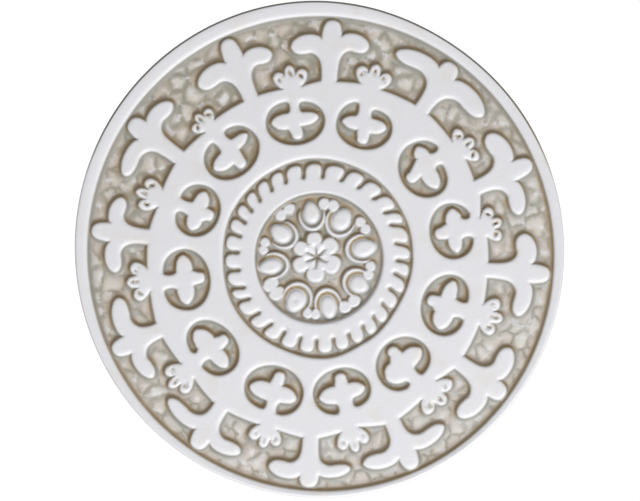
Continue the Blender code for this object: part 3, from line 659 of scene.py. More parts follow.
class Carving:
    """The height of the face above the back at any point, and what the glaze does there."""

    def __init__(self, sizes):
        self.sizes = sizes
        bearings = [360 * step / (2 * ROUND_STEPS) for step in range(2 * ROUND_STEPS)]
        field = [FIELD_MIDDLE + polar(oval_radius(FIELD_LONG, FIELD_SHORT, b), b) for b in bearings]
        petals, star = flower_outlines()
        raised = [lattice_outline(), teeth_outline(), petals]
        sunk = [*(eye_outline(*eye) for eye in EYES), turned_outline(CHANNEL_EDGE)]
        sunk += [turned_outline(RECESS_EDGE), star]
        drawn = [[fitted(point) for point in points] for points in (*raised, *sunk)]
        inside = [True] * len(raised) + [False] * len(sunk)
        self.walls = Walls([*drawn, field], [*inside, False])
        # Neighbouring crescents cross, so every second one is measured apart
        self.ridges = [
            (CRESCENT_HEIGHT, self.small_walls(crescent_outline, BEADS[0::2])),
            (CRESCENT_HEIGHT, self.small_walls(crescent_outline, BEADS[1::2])),
            (SHELL_HEIGHT, self.small_walls(shell_outline, SHELLS)),
        ]

    @staticmethod
    def small_walls(draw, rows):
        drawn = [[fitted(point) for point in draw(*row)] for row in rows]
        return Walls(drawn, [True] * len(drawn))

    @staticmethod
    def beads(points):
        """The beads' height above the ground, how far inside a bead each point is, and the way in."""
        height = np.zeros(len(points))
        distance = np.full(len(points), -1.0)
        inwards = np.zeros_like(points)
        for bearing, radius, width, length in BEADS:
            middle = np.array(fitted(polar(radius, bearing)))
            across, along = across_and_along(points, middle, bearing)
            half = width / 2 * (1 - BEAD_TAPER * np.clip(along / (length / 2), -2, 2))
            out = np.hypot(across / half, along / (length / 2))
            dome = (BEAD_HEIGHT + BEAD_ROOT) * np.clip(1 - out**5, 0, 1) ** 0.6 - BEAD_ROOT
            bed = BED_HEIGHT * soft_step((BED_REACH - out) / 0.3) * soft_step((0.004 - along) / 0.003)
            height = np.maximum(height, np.maximum(dome, bed))
            inside = (1 - out) * width / 2
            way = middle - points
            way /= np.maximum(np.linalg.norm(way, axis=1), 1e-6)[:, None]
            inwards = np.where((inside > distance)[:, None], way, inwards)
            distance = np.maximum(distance, inside)
        return height, distance, inwards

    @staticmethod
    def drops(points):
        """Where the drops in the palmettes' petals are pressed, and stained with wash and painted shade, from
        0 to 1 in their middles.
        """
        press, stain_and_shade = np.zeros(len(points)), np.zeros(len(points))
        for bearing, edge, half, tall, turn in PALMETTES:
            dark = 1 - 0.8 * math.exp(-(((bearing - PALE_DROPS) / PALE_SPREAD) ** 2))
            for across, outward, lean in DROPS:
                middle = fitted(placed([(across * half, outward * tall)], bearing, edge, turn)[0])
                side, along = across_and_along(points, middle, bearing + turn + lean)
                one = np.exp(-((side / DROP_WIDTH) ** 2) - (along / DROP_LENGTH) ** 2)
                press = np.maximum(press, one * (0.4 + 0.6 * dark))
                stain_and_shade = np.maximum(stain_and_shade, one * dark)
        return press, stain_and_shade

    def small_work(self, points, light):
        """The beads, crescents and shells: for each its height, how far inside it and the way in."""
        heights = []
        beads = self.beads(points)
        # Where a bead looks away from the light its wash fills more of the groove: painted shade.
        by_bead = beads[1] > -GROOVE * (0.5 + 0.4 * soft_step(beads[2] @ light / 0.8))
        for height, walls in self.ridges:
            near, way = walls.measure(points)
            lift = height * wall_height(near, SMALL_LIP, SMALL_FOOT)
            if height == CRESCENT_HEIGHT:  # its groove belongs to the bead
                near = np.where((near < 0) & by_bead, -GROOVE, near)
            heights.append((lift, near, way))
        return [*heights, beads]

    def washed_and_shaded(self, distance, shaded, from_middle):
        """How strongly the brown wash and its painted shade show at a distance inside the walls: more under
        walls that look away from the light, in the pockets and in the eyes.
        """
        sizes = self.sizes
        at_recess = soft_step(1.8 - np.abs(from_middle - RECESS_EDGE[0][1]) / RECESS_BAND)
        at_eyes = soft_step(3 - np.abs(from_middle - EYES[0][1]) / EYE_BAND)
        in_middle = soft_step((RECESS_EDGE[0][1] - 0.003 - from_middle) / 0.002)
        out = -distance - sizes.wash_and_shade_out * (1 - MIDDLE_NEARER * in_middle)
        up_wall = bump_of(out, LIT_EDGE + (SHADED_EDGE - LIT_EDGE) * shaded)
        onward = np.exp(-((np.maximum(out, 0) / sizes.wash_and_shade_width) ** WASH_FADE))
        strength = sizes.lit_wash + RECESS_LIT * at_recess
        strength += POCKET_SHADE * soft_step((from_middle - POCKETS_FROM) / 0.004)
        # Under walls that look away from the light the wash takes the shaded strength: painted shade.
        strength += shaded * (sizes.shaded_wash + RECESS_SHADED * at_recess - strength)
        tail = bump_of(distance + 0.001, TAIL_WIDTH) * soft_step(0.5 - distance / 0.001)
        tail *= sizes.wash_and_shade_tail * (1 + EYE_SHADE_TAIL * at_eyes)
        return np.where(out < 0, up_wall, onward) * strength + tail

    def read(self, points):
        """Height above the back, and what the glaze follows: reach, facing, the wash with its painted shade,
        and fair.
        """
        sizes = self.sizes
        light = np.array(polar(1, sizes.light_bearing))
        distance, inwards = self.walls.measure(points)
        from_middle = np.linalg.norm(points - np.array(ROSETTE_MIDDLE), axis=1)
        out = points - np.array(FIELD_MIDDLE)
        turn = np.arctan2(out[:, 1], out[:, 0]) - math.radians(LONG_BEARING)
        field = FIELD_LONG * FIELD_SHORT / np.hypot(FIELD_SHORT * np.cos(turn), FIELD_LONG * np.sin(turn))
        beyond = np.linalg.norm(out, axis=1) - field
        inward = soft_step(beyond / FALL_WIDTH + FALL_START) * (1 - np.clip(beyond / RIM_WIDTH, 0, 1))
        at_recess = soft_step(1.8 - np.abs(from_middle - RECESS_EDGE[0][1]) / RECESS_BAND)
        shaded = looking_away(inwards @ light)
        lip = sizes.lip + (1 - shaded) * (1 - at_recess) * (sizes.lit_lip - sizes.lip)
        foot = sizes.foot * (1 - RECESS_NARROWER * at_recess * shaded)
        rise = (sizes.relief - sizes.rim_slope * inward) * wall_height(distance, lip, foot)
        inner = np.flatnonzero(from_middle < SMALL_MIDDLE)
        for height, near, way in self.small_work(points[inner], light):
            rise[inner] = np.maximum(rise[inner], height)
            nearer = near > distance[inner]
            distance[inner[nearer]] = near[nearer]
            inwards[inner[nearer]] = way[nearer]
        facing = inwards @ light
        shaded = looking_away(facing)
        wash_and_shade = self.washed_and_shaded(distance, shaded, from_middle)
        from_flower = np.linalg.norm(points - np.array(fitted(FLOWER_MIDDLE)), axis=1)
        in_star = STAR_WASH + PIT_WASH * soft_step((PIT_RADIUS + 0.0005 - from_flower) / 0.001)
        in_star *= soft_step((0.0004 - distance) / 0.0008)
        wash_and_shade = np.where(from_flower < SLIT_REACH + 0.001, in_star, wash_and_shade)
        outer = np.flatnonzero(from_middle > DROPS_FROM)
        press, stain_and_shade = self.drops(points[outer])
        rise[outer] -= press * sizes.drop_depth
        # The drops are darkened, partly with wash and partly with painted shade in the pits.
        wash_and_shade[outer] = np.maximum(wash_and_shade[outer], DROP_WASH_AND_SHADE * stain_and_shade)
        for bearing, radius, half, dark in CHIPS:
            away = np.linalg.norm(points - np.array(fitted(polar(radius, bearing))), axis=1)
            dent = bump_of(away, half)
            rise -= CHIP_DEPTH * dent
            wash_and_shade = np.maximum(wash_and_shade, dark * dent)
        fine = lumps(points, FINE_LUMPS, 8.0) * 0.25 * (1.6 - soft_step(distance / 0.001))
        rough = lumps(points, BROAD_LUMPS, 3.0) * 0.5 + fine
        rise += sizes.unevenness * (rough - LOW_BY)
        # In the sunk circle the white reaches further down on the side that faces the light: painted light.
        lit_cover = distance + np.where(from_middle < RECESS_EDGE[0][1], (1.2 - shaded) * WHITE_OVER, 0)
        # fair: the ground is darker towards one bearing of the field, round the top left, and lighter
        # opposite it, round the bottom right.
        fair = 0.5 - 0.5 * np.cos(turn + math.radians(LONG_BEARING - sizes.dark_ground_bearing))
        values = {"reach": lit_cover / MILLIMETRE, "facing": facing, "wash_and_shade": wash_and_shade, "fair": fair}
        return THICKNESS - sizes.relief + rise, values


def front_sheet(carving):
    """A flat sheet inside the outline's rounded edge, fine along the walls of the carving."""
    work = bmesh.new()
    bmesh.ops.create_circle(work, cap_ends=True, cap_tris=True, segments=6, radius=1)
    for _ in range(FIRST_CUTS):
        bmesh.ops.subdivide_edges(work, edges=work.edges[:], cuts=1, use_grid_fill=True)
    tip = max(work.verts, key=lambda vert: vert.co.length).co
    lean = math.degrees(math.atan2(tip.y, tip.x))
    for vert in work.verts:
        bearing = math.degrees(math.atan2(vert.co.y, vert.co.x))
        off_middle = (bearing - lean) % 60 - 30
        share = vert.co.length * math.cos(math.radians(off_middle)) / math.cos(math.radians(30))
        vert.co.xy = polar(share * (slab_radius(bearing) - edge_rounding(bearing, carving.sizes)), bearing)
    for reach in WALL_CUTS:
        points = np.array([vert.co.xy[:] for vert in work.verts])
        near = np.abs(carving.walls.measure(points)[0])
        middle = np.linalg.norm(points - np.array(ROSETTE_MIDDLE), axis=1) < MESH_MIDDLE
        near[middle] = 0
        work.verts.index_update()
        chosen = [
            edge
            for edge in work.edges
            if min(near[edge.verts[0].index], near[edge.verts[1].index]) < reach or edge.is_boundary
        ]
        bmesh.ops.subdivide_edges(work, edges=chosen, cuts=1)
        bmesh.ops.triangulate(work, faces=[face for face in work.faces if len(face.verts) > 3])
    return work


def along_walls(points, corners, carving):
    """Points near a wall, slid onto lines that run along it, where no triangle turns over."""
    distance, inwards = carving.walls.measure(points)
    line = np.round(distance / CONTOUR) * CONTOUR
    moved = points + inwards * (line - distance)[:, None]
    held = np.abs(distance) > LAST_CONTOUR * CONTOUR
    for _ in range(HOLD_ROUNDS):
        placed_now = np.where(held[:, None], points, moved)
        a, b, c = (placed_now[corners[:, k]] for k in range(3))
        area = (b[:, 0] - a[:, 0]) * (c[:, 1] - a[:, 1]) - (c[:, 0] - a[:, 0]) * (b[:, 1] - a[:, 1])
        thin = area < 0.12 * CONTOUR**2
        if not (thin & ~held[corners].all(axis=1)).any():
            break
        held[np.unique(corners[thin])] = True
    return np.where(held[:, None], points, moved)


def carve_face(work, carving):
    """Slide the sheet's points along the walls and lift each to its height."""
    work.verts.index_update()
    points = np.array([vert.co.xy[:] for vert in work.verts])
    corners = np.array([[vert.index for vert in face.verts] for face in work.faces])
    fixed = np.array([vert.is_boundary for vert in work.verts])
    points = np.where(fixed[:, None], points, along_walls(points, corners, carving))
    height, values = carving.read(points)
    layers = [work.verts.layers.float.new(name) for name in values]
    for vert, x, y, z, *marks in zip(work.verts, *points.T.tolist(), height.tolist(), *values.values()):
        vert.co = (x, y, z)
        for layer, mark in zip(layers, marks):
            vert[layer] = mark


def edge_and_back(work, sizes):
    """Turn the edge of the slab down from the face, and close the back with its pocket."""
    reach, wash_and_shade = (work.verts.layers.float[name] for name in ("reach", "wash_and_shade"))
    quarter = [math.pi / 2 * turn / EDGE_TURNS for turn in range(1, EDGE_TURNS + 1)]
    # Each band of the edge: shares of the face's rounding, of the thickness and of the back's rounding
    bands = [(1 - math.sin(a), 1 - math.cos(a), 1.0, 0.0, 0.0) for a in quarter]
    bands += [(0.0, 1.0, share, 0.0, 0.0) for share in (0.6, 0.36)]
    bands += [(0.0, 0.0, 0.0, 1 - math.cos(a), 1 - math.sin(a)) for a in quarter[-2::-1]]
    bands.append((0.0, 0.0, 0.0, 1.0, 0.0))
    border = [edge for edge in work.edges if edge.is_boundary]
    for inset, fall, high, back_inset, back_high in bands:
        grown = bmesh.ops.extrude_edge_only(work, edges=border)["geom"]
        border = [part for part in grown if isinstance(part, bmesh.types.BMEdge) and part.is_boundary]
        for vert in {vert for edge in border for vert in edge.verts}:
            bearing = math.degrees(math.atan2(vert.co.y, vert.co.x))
            rounding = edge_rounding(bearing, sizes)
            height = high * (THICKNESS - FACE_SINK - fall * rounding) + back_high * sizes.back_round
            inwards = inset * rounding + back_inset * sizes.back_round
            vert.co.xy = polar(slab_radius(bearing) - inwards, bearing)
            vert.co.z = height
            vert[reach] = EDGE_REACH
            # The outer edge's stain, with painted shade on its upper side, which looks away from the low
            # light.
            vert[wash_and_shade] = edge_stain_and_shade(bearing) * (STAIN_SHADE_SIDE + STAIN_SHADE_FACE * high**4)
    radius = POCKET_WIDTH / 2
    top = plaque_radius(90) - POCKET_FROM_TOP - radius
    bottom = top - POCKET_HEIGHT + POCKET_WIDTH
    mouth = bmesh.ops.create_circle(work, cap_ends=False, segments=36, radius=radius)["verts"]
    for vert in mouth:
        vert.co.y += top if vert.co.y > 0 else bottom
    ring = list(dict.fromkeys(edge for vert in mouth for edge in vert.link_edges))
    bmesh.ops.triangle_fill(work, edges=[*border, *ring], use_beauty=True, normal=(0, 0, -1))
    grown = bmesh.ops.extrude_edge_only(work, edges=ring)["geom"]
    ring = [part for part in grown if isinstance(part, bmesh.types.BMEdge) and part.is_boundary]
    for vert in {vert for edge in ring for vert in edge.verts}:
        vert.co.z = POCKET_DEPTH
    bmesh.ops.contextual_create(work, geom=ring)
    bmesh.ops.recalc_face_normals(work, faces=work.faces)


def math_node(tree, operation, first, second=None, third=None, clamp=False):
    """The output of a Math node on sockets or numbers."""
    node = tree.nodes.new("ShaderNodeMath")
    node.operation = operation
    node.use_clamp = clamp
    for place, value in enumerate((first, second, third)):
        if isinstance(value, bpy.types.NodeSocket):
            tree.links.new(value, node.inputs[place])
        elif value is not None:
            node.inputs[place].default_value = value
    return node.outputs[0]


def spread(tree, value, low, high, to_low=0.0, to_high=1.0):
    """A value mapped smoothly from one range to another."""
    node = tree.nodes.new("ShaderNodeMapRange")
    node.interpolation_type = "SMOOTHSTEP"
    tree.links.new(value, node.inputs["Value"])
    for name, number in (("From Min", low), ("From Max", high), ("To Min", to_low), ("To Max", to_high)):
        node.inputs[name].default_value = number
    return node.outputs[0]


def mixed(tree, share, first, second):
    """Two colours, each a socket or a plain colour, mixed by a share."""
    node = tree.nodes.new("ShaderNodeMix")
    node.data_type = "RGBA"
    tree.links.new(share, node.inputs["Factor"])
    for socket, value in ((node.inputs[6], first), (node.inputs[7], second)):
        if isinstance(value, bpy.types.NodeSocket):
            tree.links.new(value, socket)
        else:
            socket.default_value = (*value, 1)
    return node.outputs[2]


def noise_node(tree, vector, scale, detail=2.0, roughness=0.5):
    """The value of a Noise texture."""
    node = tree.nodes.new("ShaderNodeTexNoise")
    tree.links.new(vector, node.inputs["Vector"])
    node.inputs["Scale"].default_value = scale
    node.inputs["Detail"].default_value = detail
    node.inputs["Roughness"].default_value = roughness
    return node.outputs["Fac"]


def new_group(name, inputs, outputs):
    """An empty shader group with float and vector inputs and float outputs."""
    tree = bpy.data.node_groups.new(name, "ShaderNodeTree")
    for label, kind, value in inputs:
        socket = tree.interface.new_socket(label, in_out="INPUT", socket_type=kind)
        if value is not None:
            socket.default_value = value
    for label in outputs:
        tree.interface.new_socket(label, in_out="OUTPUT", socket_type="NodeSocketFloat")
    start = tree.nodes.new("NodeGroupInput")
    end = tree.nodes.new("NodeGroupOutput")
    return tree, start.outputs, end.inputs


def crackle_group():
    """Cracks in a glaze: the line between the cells, how far inside a cell, and a shade for each."""
    tree, given, made = new_group(
        "crackle",
        (
            ("Vector", "NodeSocketVector", None),
            ("Cells per Metre", "NodeSocketFloat", 130.0),
            ("Line", "NodeSocketFloat", 0.04),
        ),
        ("Crack", "Pad", "Shade"),
    )
    wander = tree.nodes.new("ShaderNodeTexNoise")
    wander.inputs["Scale"].default_value = 90.0
    tree.links.new(given["Vector"], wander.inputs["Vector"])
    bend = tree.nodes.new("ShaderNodeVectorMath")
    bend.operation = "MULTIPLY_ADD"
    tree.links.new(wander.outputs["Color"], bend.inputs[0])
    bend.inputs[1].default_value = (0.0045, 0.0045, 0.0045)
    tree.links.new(given["Vector"], bend.inputs[2])
    cells = {}
    for feature in ("DISTANCE_TO_EDGE", "F1"):
        cell = tree.nodes.new("ShaderNodeTexVoronoi")
        cell.voronoi_dimensions = "2D"
        cell.feature = feature
        tree.links.new(given["Cells per Metre"], cell.inputs["Scale"])
        tree.links.new(bend.outputs[0], cell.inputs["Vector"])
        cells[feature] = cell
    edge = cells["DISTANCE_TO_EDGE"].outputs["Distance"]
    line = math_node(tree, "DIVIDE", edge, given["Line"])
    tree.links.new(spread(tree, line, 0.0, 1.0, 1.0, 0.0), made["Crack"])
    tree.links.new(spread(tree, edge, 0.05, 0.4), made["Pad"])
    split = tree.nodes.new("ShaderNodeSeparateColor")
    tree.links.new(cells["F1"].outputs["Color"], split.inputs["Color"])
    tree.links.new(split.outputs[0], made["Shade"])
    return tree


def mottle_group():
    """Slow and fine unevenness of a fired surface, each around one half."""
    tree, given, made = new_group(
        "mottle",
        (("Vector", "NodeSocketVector", None), ("Patches per Metre", "NodeSocketFloat", 40.0)),
        ("Patches", "Grain"),
    )
    patches = tree.nodes.new("ShaderNodeTexNoise")
    patches.inputs["Detail"].default_value = 3.0
    tree.links.new(given["Patches per Metre"], patches.inputs["Scale"])
    tree.links.new(given["Vector"], patches.inputs["Vector"])
    tree.links.new(patches.outputs["Fac"], made["Patches"])
    tree.links.new(noise_node(tree, given["Vector"], 900.0, 3.0), made["Grain"])
    return tree


def group_node(tree, group, vector, **values):
    """A shader group placed in a material with its own values."""
    node = tree.nodes.new("ShaderNodeGroup")
    node.node_tree = group
    tree.links.new(vector, node.inputs["Vector"])
    for label, value in values.items():
        node.inputs[label.replace("_", " ")].default_value = value
    return node.outputs


def attribute_value(tree, name):
    """The value of one of the mesh's own attributes."""
    node = tree.nodes.new("ShaderNodeAttribute")
    node.name = node.label = node.attribute_name = name
    return node.outputs["Fac"]


def face_vector(tree):
    """Object coordinates turned so that x and y lie in the plaque's face."""
    place = tree.nodes.new("ShaderNodeTexCoord")
    turn = tree.nodes.new("ShaderNodeMapping")
    turn.inputs["Rotation"].default_value = (math.radians(-90), 0, 0)
    tree.links.new(place.outputs["Object"], turn.inputs["Vector"])
    return turn.outputs[0]


def fine_bump(tree, shader, level, strength):
    """A slight unevenness of the surface, from a level."""
    bump = tree.nodes.new("ShaderNodeBump")
    bump.inputs["Strength"].default_value = strength
    bump.inputs["Distance"].default_value = BUMP_DEPTH
    tree.links.new(level, bump.inputs["Height"])
    tree.links.new(bump.outputs["Normal"], shader.inputs["Normal"])


def glaze_material(glaze, crackle, mottle):
    """Milk-white glaze, thin and crazed in the hollows, with a brown wash pooled under the walls and painted
    shade in it, brown under walls that look away from the light and grey under those that face it, and
    painted glints on the open ground.
    """
    material = bpy.data.materials.new("milk_glaze")
    material.use_nodes = True
    tree = material.node_tree
    shader = tree.nodes["Principled BSDF"]
    vector = face_vector(tree)
    reach = attribute_value(tree, "reach")
    facing = attribute_value(tree, "facing")
    wash_and_shade = attribute_value(tree, "wash_and_shade")
    fair = attribute_value(tree, "fair")
    uneven = group_node(tree, mottle, vector, Patches_per_Metre=70.0)
    glint_blotches = group_node(tree, mottle, vector, Patches_per_Metre=190.0)["Patches"]
    cracks = group_node(tree, crackle, vector, Cells_per_Metre=100.0, Line=0.16)
    wavy = math_node(tree, "MULTIPLY_ADD", uneven["Patches"], 1.4, -0.7)
    unsure = math_node(tree, "ADD", reach, wavy)

    top = mixed(tree, spread(tree, uneven["Patches"], 0.52, 0.72), glaze.milk, glaze.warm_milk)
    open_ground = spread(tree, unsure, -1.6, -3.2)
    pad_share = math_node(tree, "MULTIPLY", cracks["Pad"], open_ground)
    # Painted glints: the blotches lighten the crazed pads and, further on, make milk-white spots on the open
    # ground.
    pad_share = math_node(tree, "MULTIPLY_ADD", spread(tree, glint_blotches, 0.3, 0.7), 0.7, pad_share)
    # The ground is lighter round the bottom right of the field, by fair, here and in the milk mixed in below.
    pad_share = math_node(tree, "MULTIPLY_ADD", fair, 0.35, pad_share)
    pad_share = math_node(tree, "ADD", pad_share, -0.25)
    pad_share = math_node(tree, "MULTIPLY_ADD", wavy, 0.8, pad_share, clamp=True)
    ground = mixed(tree, pad_share, glaze.hollow, glaze.pad)
    pinks = math_node(tree, "MULTIPLY", spread(tree, cracks["Shade"], 0.4, 0.9), 0.6)
    ground = mixed(tree, pinks, ground, glaze.blush)
    ground = mixed(tree, math_node(tree, "MULTIPLY", fair, 0.25), ground, glaze.milk)
    faint = math_node(tree, "MULTIPLY", cracks["Crack"], spread(tree, uneven["Patches"], 0.35, 0.6, 0.1, 0.8))
    crack_share = math_node(tree, "MULTIPLY", faint, spread(tree, reach, -1.8, -3.4))
    ground = mixed(tree, crack_share, ground, glaze.crack)
    # Milk-white spots on the open ground: painted glints of the light on the lumpy glaze.
    spots = math_node(tree, "MULTIPLY", spread(tree, glint_blotches, 0.54, 0.68), open_ground)
    ground = mixed(tree, math_node(tree, "MULTIPLY", spots, 0.75), ground, glaze.milk)
    share = spread(tree, math_node(tree, "MULTIPLY_ADD", wavy, 0.5, reach), -0.7, 0.8)
    colour = mixed(tree, share, ground, top)
    # The band under the walls: brown where the wall looks away from the light and grey where it faces it, so
    # partly pooled wash and partly painted shade; deepest in the drops and at the top of the edge.
    ragged = math_node(tree, "MULTIPLY_ADD", wavy, 0.25, wash_and_shade)
    pool_and_shade = math_node(tree, "MULTIPLY", ragged, spread(tree, wash_and_shade, 0.0, 0.15), clamp=True)
    stain_and_shade = mixed(tree, spread(tree, facing, -0.5, 0.4), glaze.thin, glaze.wash_and_shade)
    stain_and_shade = mixed(tree, spread(tree, wash_and_shade, 1.0, 1.6), stain_and_shade, glaze.deep)
    colour = mixed(tree, pool_and_shade, colour, stain_and_shade)
    tree.links.new(colour, shader.inputs["Base Color"])

    rough = math_node(tree, "MULTIPLY_ADD", share, -0.1, 0.5)
    rough = math_node(tree, "MULTIPLY_ADD", uneven["Grain"], 0.12, rough)
    tree.links.new(rough, shader.inputs["Roughness"])
    shader.inputs["IOR"].default_value = 1.5
    pillow = math_node(tree, "MULTIPLY", cracks["Pad"], open_ground)
    level = math_node(tree, "MULTIPLY_ADD", pillow, 1.5, uneven["Grain"])
    fine_bump(tree, shader, level, 0.6)
    return material


def clay_material(glaze, mottle):
    """The bare fired clay of the back."""
    material = bpy.data.materials.new("bare_clay")
    material.use_nodes = True
    tree = material.node_tree
    shader = tree.nodes["Principled BSDF"]
    uneven = group_node(tree, mottle, face_vector(tree), Patches_per_Metre=30.0)
    dark = tuple(0.8 * part for part in glaze.clay)
    colour = mixed(tree, spread(tree, uneven["Patches"], 0.35, 0.65), dark, glaze.clay)
    tree.links.new(colour, shader.inputs["Base Color"])
    tree.links.new(math_node(tree, "MULTIPLY_ADD", uneven["Grain"], 0.2, 0.65), shader.inputs["Roughness"])
    fine_bump(tree, shader, uneven["Grain"], 0.4)
    return material


def length_property(name, description, default):
    """A property that holds a length."""
    return FloatProperty(
        name=name, description=description, default=default, min=0, unit="LENGTH", precision=5
    )


def colour_property(name, description, default):
    """A property that holds a colour."""
    return FloatVectorProperty(
        name=name, description=description, default=default, size=3, min=0, max=1, subtype="COLOR"
    )


class PlaqueCarving(PropertyGroup):
    """Sizes of the carving"""

    relief: length_property("Relief", "How far the carving stands above the sunk field", 0.003)
    lip: length_property("Lip", "How far in from its outline the raised clay is still rounding over", 0.0013)
    lit_lip: length_property("Lit lip", "The same where the clay faces the light", 0.0026)
    foot: length_property("Foot", "How far out from its outline a wall meets the ground", 0.0023)
    rim_slope: length_property("Rim slope", "How far the rim falls towards the field", 0.0005)
    edge_round: length_property("Edge rounding", "How far the top of the slab's edge is rounded over", 0.0015)
    foot_round: length_property("Foot rounding", "How far it is rounded over at the plaque's foot", 0.0024)
    back_round: length_property("Back rounding", "How far the edge is rounded over at the back", 0.0015)
    drop_depth: length_property("Drop depth", "How deep the drops in the petals are pressed", 0.0015)
    # The wash below is pooled glaze with painted shade: stronger and browner under walls that look away from
    # the light, and left further out in the channels.
    wash_and_shade_out: length_property("Wash distance", "How far out from an outline the wash is darkest", 0.0007)
    wash_and_shade_width: length_property("Wash width", "How far from there it has mostly faded", 0.0016)
    shaded_wash: FloatProperty(name="Shaded wash", description="Wash under other walls", default=0.75)
    lit_wash: FloatProperty(name="Lit wash", description="Wash under walls that face the light", default=0.5)
    wash_and_shade_tail: FloatProperty(name="Wash tail", description="Wash left far out from the walls", default=0.28)
    unevenness: length_property("Unevenness", "How far the hand-smoothed clay rises and falls", 0.00022)
    light_bearing: FloatProperty(
        name="Wash bearing", description="Where the light is that the wash lies away from", default=-65.0
    )
    # The field's ground is darker towards this bearing and lighter opposite it.
    dark_ground_bearing: FloatProperty(
        name="Thin bearing", description="Where round the field the glaze is thinnest", default=120.0
    )
    thick_bearing: FloatProperty(
        name="Thick bearing", description="Where round the edge it is rounded most", default=-75.0
    )


class PlaqueGlaze(PropertyGroup):
    """Colours of the glaze and the clay"""

    milk: colour_property("Milk", "Thick glaze on the raised work", (0.79, 0.79, 0.82))
    warm_milk: colour_property("Warm milk", "Thick glaze where it is a little thinner", (0.78, 0.755, 0.75))
    pad: colour_property("Pad", "Glaze in the middle of a crazed cell in the hollows", (0.69, 0.65, 0.59))
    hollow: colour_property("Hollow", "Thin glaze in the hollows", (0.39, 0.365, 0.3))
    blush: colour_property("Blush", "Glaze in the pinker cells", (0.62, 0.52, 0.44))
    crack: colour_property("Crack", "The lines of the crazing", (0.31, 0.295, 0.24))
    # Thin and Wash are the lit and shaded copies of the band under the walls, grey facing the light and brown
    # looking away: painted light and shade over pooled glaze. Deep darkens the drops and the upper edge
    # further with painted shade.
    thin: colour_property("Thin", "Grey glaze under the walls that face the light", (0.26, 0.26, 0.235))
    wash_and_shade: colour_property("Wash", "Brown wash pooled under the walls", (0.34, 0.245, 0.13))
    deep: colour_property("Deep", "Wash at the bottom of the pressed drops", (0.13, 0.085, 0.06))
    clay: colour_property("Clay", "Bare clay on the back", (0.62, 0.5, 0.39))


class PlaqueStudio(PropertyGroup):
    """Camera and light"""

    lens: FloatProperty(name="Lens", description="Focal length of the camera", default=120.0, unit="CAMERA")
    distance: length_property("Distance", "From the camera to the face of the plaque", 1.2992)
    key_power: FloatProperty(name="Key", description="Power of the low light", default=76.0, unit="POWER")
    key_size: length_property("Key size", "Width of the low light", 1.5)
    key_distance: length_property("Key distance", "From the plaque to the low light", 2.9)
    key_lift: FloatProperty(
        name="Key lift", description="How far the low light stands out from the plaque's own plane",
        default=math.radians(42), subtype="ANGLE",
    )
    fill_power: FloatProperty(
        name="Fill", description="Power of the light behind the camera", default=1.0, unit="POWER"
    )
    sky: FloatProperty(name="Sky", description="Strength of the even light from all round", default=0.36)
    floor_drop: length_property("Floor drop", "From the middle of the plaque down to the floor", 2.6)


class PLAQUE_OT_carve(Operator):
    """Shape the plaque with its carving, edge and back, and glaze it"""

    bl_idname = "plaque.carve"
    bl_label = "Carve and glaze the plaque"

    def execute(self, context):
        sizes = context.scene.plaque_carving
        glaze = context.scene.plaque_glaze
        carving = Carving(sizes)
        work = front_sheet(carving)
        carve_face(work, carving)
        edge_and_back(work, sizes)
        for face in work.faces:
            face.smooth = True
            middle = face.calc_center_median()
            in_pocket = middle.z <= POCKET_DEPTH and Vector((middle.x, middle.y)).length < PLAQUE_SHORT / 2.5
            face.material_index = 1 if in_pocket or face.normal.z < -0.9 else 0
        bmesh.ops.rotate(work, verts=work.verts, matrix=Matrix.Rotation(math.radians(90), 3, "X"))
        mesh = bpy.data.meshes.new("glazed_plaque")
        work.to_mesh(mesh)
        work.free()
        mesh.set_sharp_from_angle(angle=math.radians(50))
        mottle = mottle_group()
        mesh.materials.append(glaze_material(glaze, crackle_group(), mottle))
        mesh.materials.append(clay_material(glaze, mottle))
        piece = bpy.data.objects.new("glazed_plaque", mesh)
        context.scene.collection.objects.link(piece)
        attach(piece, "root")
        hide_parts("plaque")
        print("glazed_plaque:", sum(len(face.vertices) - 2 for face in mesh.polygons), "triangles")
        return {"FINISHED"}


def soft_light(name, power, size, place):
    """A large square light that points at the middle of the plaque."""
    lamp = bpy.data.lights.new(name, "AREA")
    lamp.energy = power
    lamp.size = size
    thing = bpy.data.objects.new(name, lamp)
    thing.location = place
    thing.rotation_euler = (-Vector(place)).to_track_quat("-Z", "Y").to_euler()
    bpy.context.scene.collection.objects.link(thing)


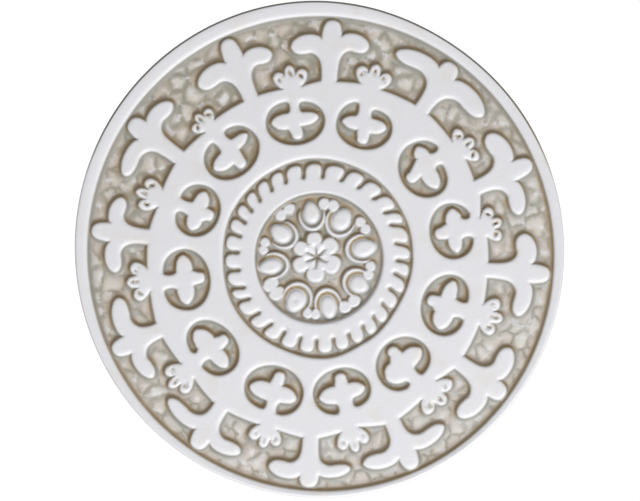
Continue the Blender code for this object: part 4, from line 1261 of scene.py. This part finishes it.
class PLAQUE_OT_stage(Operator):
    """Set up the pale floor, the soft light and the camera"""

    bl_idname = "plaque.stage"
    bl_label = "Set the stage"

    def execute(self, context):
        studio = context.scene.plaque_studio
        scene = context.scene
        scene.view_settings.view_transform = "Standard"

        floor = bmesh.new()
        bmesh.ops.create_grid(floor, x_segments=8, y_segments=8, size=6)
        mesh = bpy.data.meshes.new("floor")
        floor.to_mesh(mesh)
        floor.free()
        pale = bpy.data.materials.new("pale_floor")
        pale.use_nodes = True
        shader = pale.node_tree.nodes["Principled BSDF"]
        shader.inputs["Roughness"].default_value = 0.8
        spots = pale.node_tree.nodes.new("ShaderNodeTexCoord").outputs["Object"]
        shade = noise_node(pale.node_tree, spots, 3.0, 4.0)
        pale.node_tree.links.new(
            mixed(pale.node_tree, shade, (0.8, 0.8, 0.8), (0.86, 0.86, 0.85)), shader.inputs["Base Color"]
        )
        mesh.materials.append(pale)
        mesh.transform(Matrix.Translation((0, 0, -studio.floor_drop)))
        thing = bpy.data.objects.new("floor", mesh)
        scene.collection.objects.link(thing)

        world = bpy.data.worlds.new("white_studio")
        world.use_nodes = True
        nodes, links = world.node_tree.nodes, world.node_tree.links
        backdrop = nodes["Background"]
        backdrop.inputs["Color"].default_value = (1, 1, 1, 1)
        path = nodes.new("ShaderNodeLightPath").outputs["Is Camera Ray"]
        strength = math_node(world.node_tree, "MULTIPLY_ADD", path, 1.05 - studio.sky, studio.sky)
        links.new(strength, backdrop.inputs["Strength"])
        scene.world = world

        low = polar(studio.key_distance * math.cos(studio.key_lift), KEY_BEARING)
        place = (low.x, -studio.key_distance * math.sin(studio.key_lift), low.y)
        soft_light("key_light", studio.key_power, studio.key_size, place)
        soft_light("fill_light", studio.fill_power, 1.2, (-0.5, -1.6, 0.7))

        lens = bpy.data.cameras.new("camera")
        lens.lens = studio.lens
        camera = bpy.data.objects.new("camera", lens)
        camera.location = (0.0003, -THICKNESS - studio.distance, -0.0007)
        camera.rotation_euler = (math.radians(90), 0, 0)
        scene.collection.objects.link(camera)
        scene.camera = camera
        return {"FINISHED"}


class PLAQUE_PT_sidebar(Panel):
    """Lists the plaque's settings and steps"""

    bl_label = "Wall plaque"
    bl_idname = "PLAQUE_PT_sidebar"
    bl_space_type = "VIEW_3D"
    bl_region_type = "UI"
    bl_category = "Plaque"

    def draw(self, context):
        scene = context.scene
        for settings in (scene.plaque_carving, scene.plaque_glaze, scene.plaque_studio):
            box = self.layout.box()
            for name in settings.__annotations__:
                box.prop(settings, name)
        for step in STEPS:
            self.layout.operator(step.bl_idname)


STEPS = (PLAQUE_OT_carve, PLAQUE_OT_stage)
CLASSES = (PlaqueCarving, PlaqueGlaze, PlaqueStudio, *STEPS, PLAQUE_PT_sidebar)


def register():
    for kind in CLASSES:
        bpy.utils.register_class(kind)
    bpy.types.Scene.plaque_carving = PointerProperty(type=PlaqueCarving)
    bpy.types.Scene.plaque_glaze = PointerProperty(type=PlaqueGlaze)
    bpy.types.Scene.plaque_studio = PointerProperty(type=PlaqueStudio)


def unregister():
    del bpy.types.Scene.plaque_studio
    del bpy.types.Scene.plaque_glaze
    del bpy.types.Scene.plaque_carving
    for kind in reversed(CLASSES):
        bpy.utils.unregister_class(kind)


def main():
    """Make everything in order."""
    register()
    bpy.ops.plaque.stage()
    bpy.ops.plaque.carve()


if __name__ == "__main__":
    main()
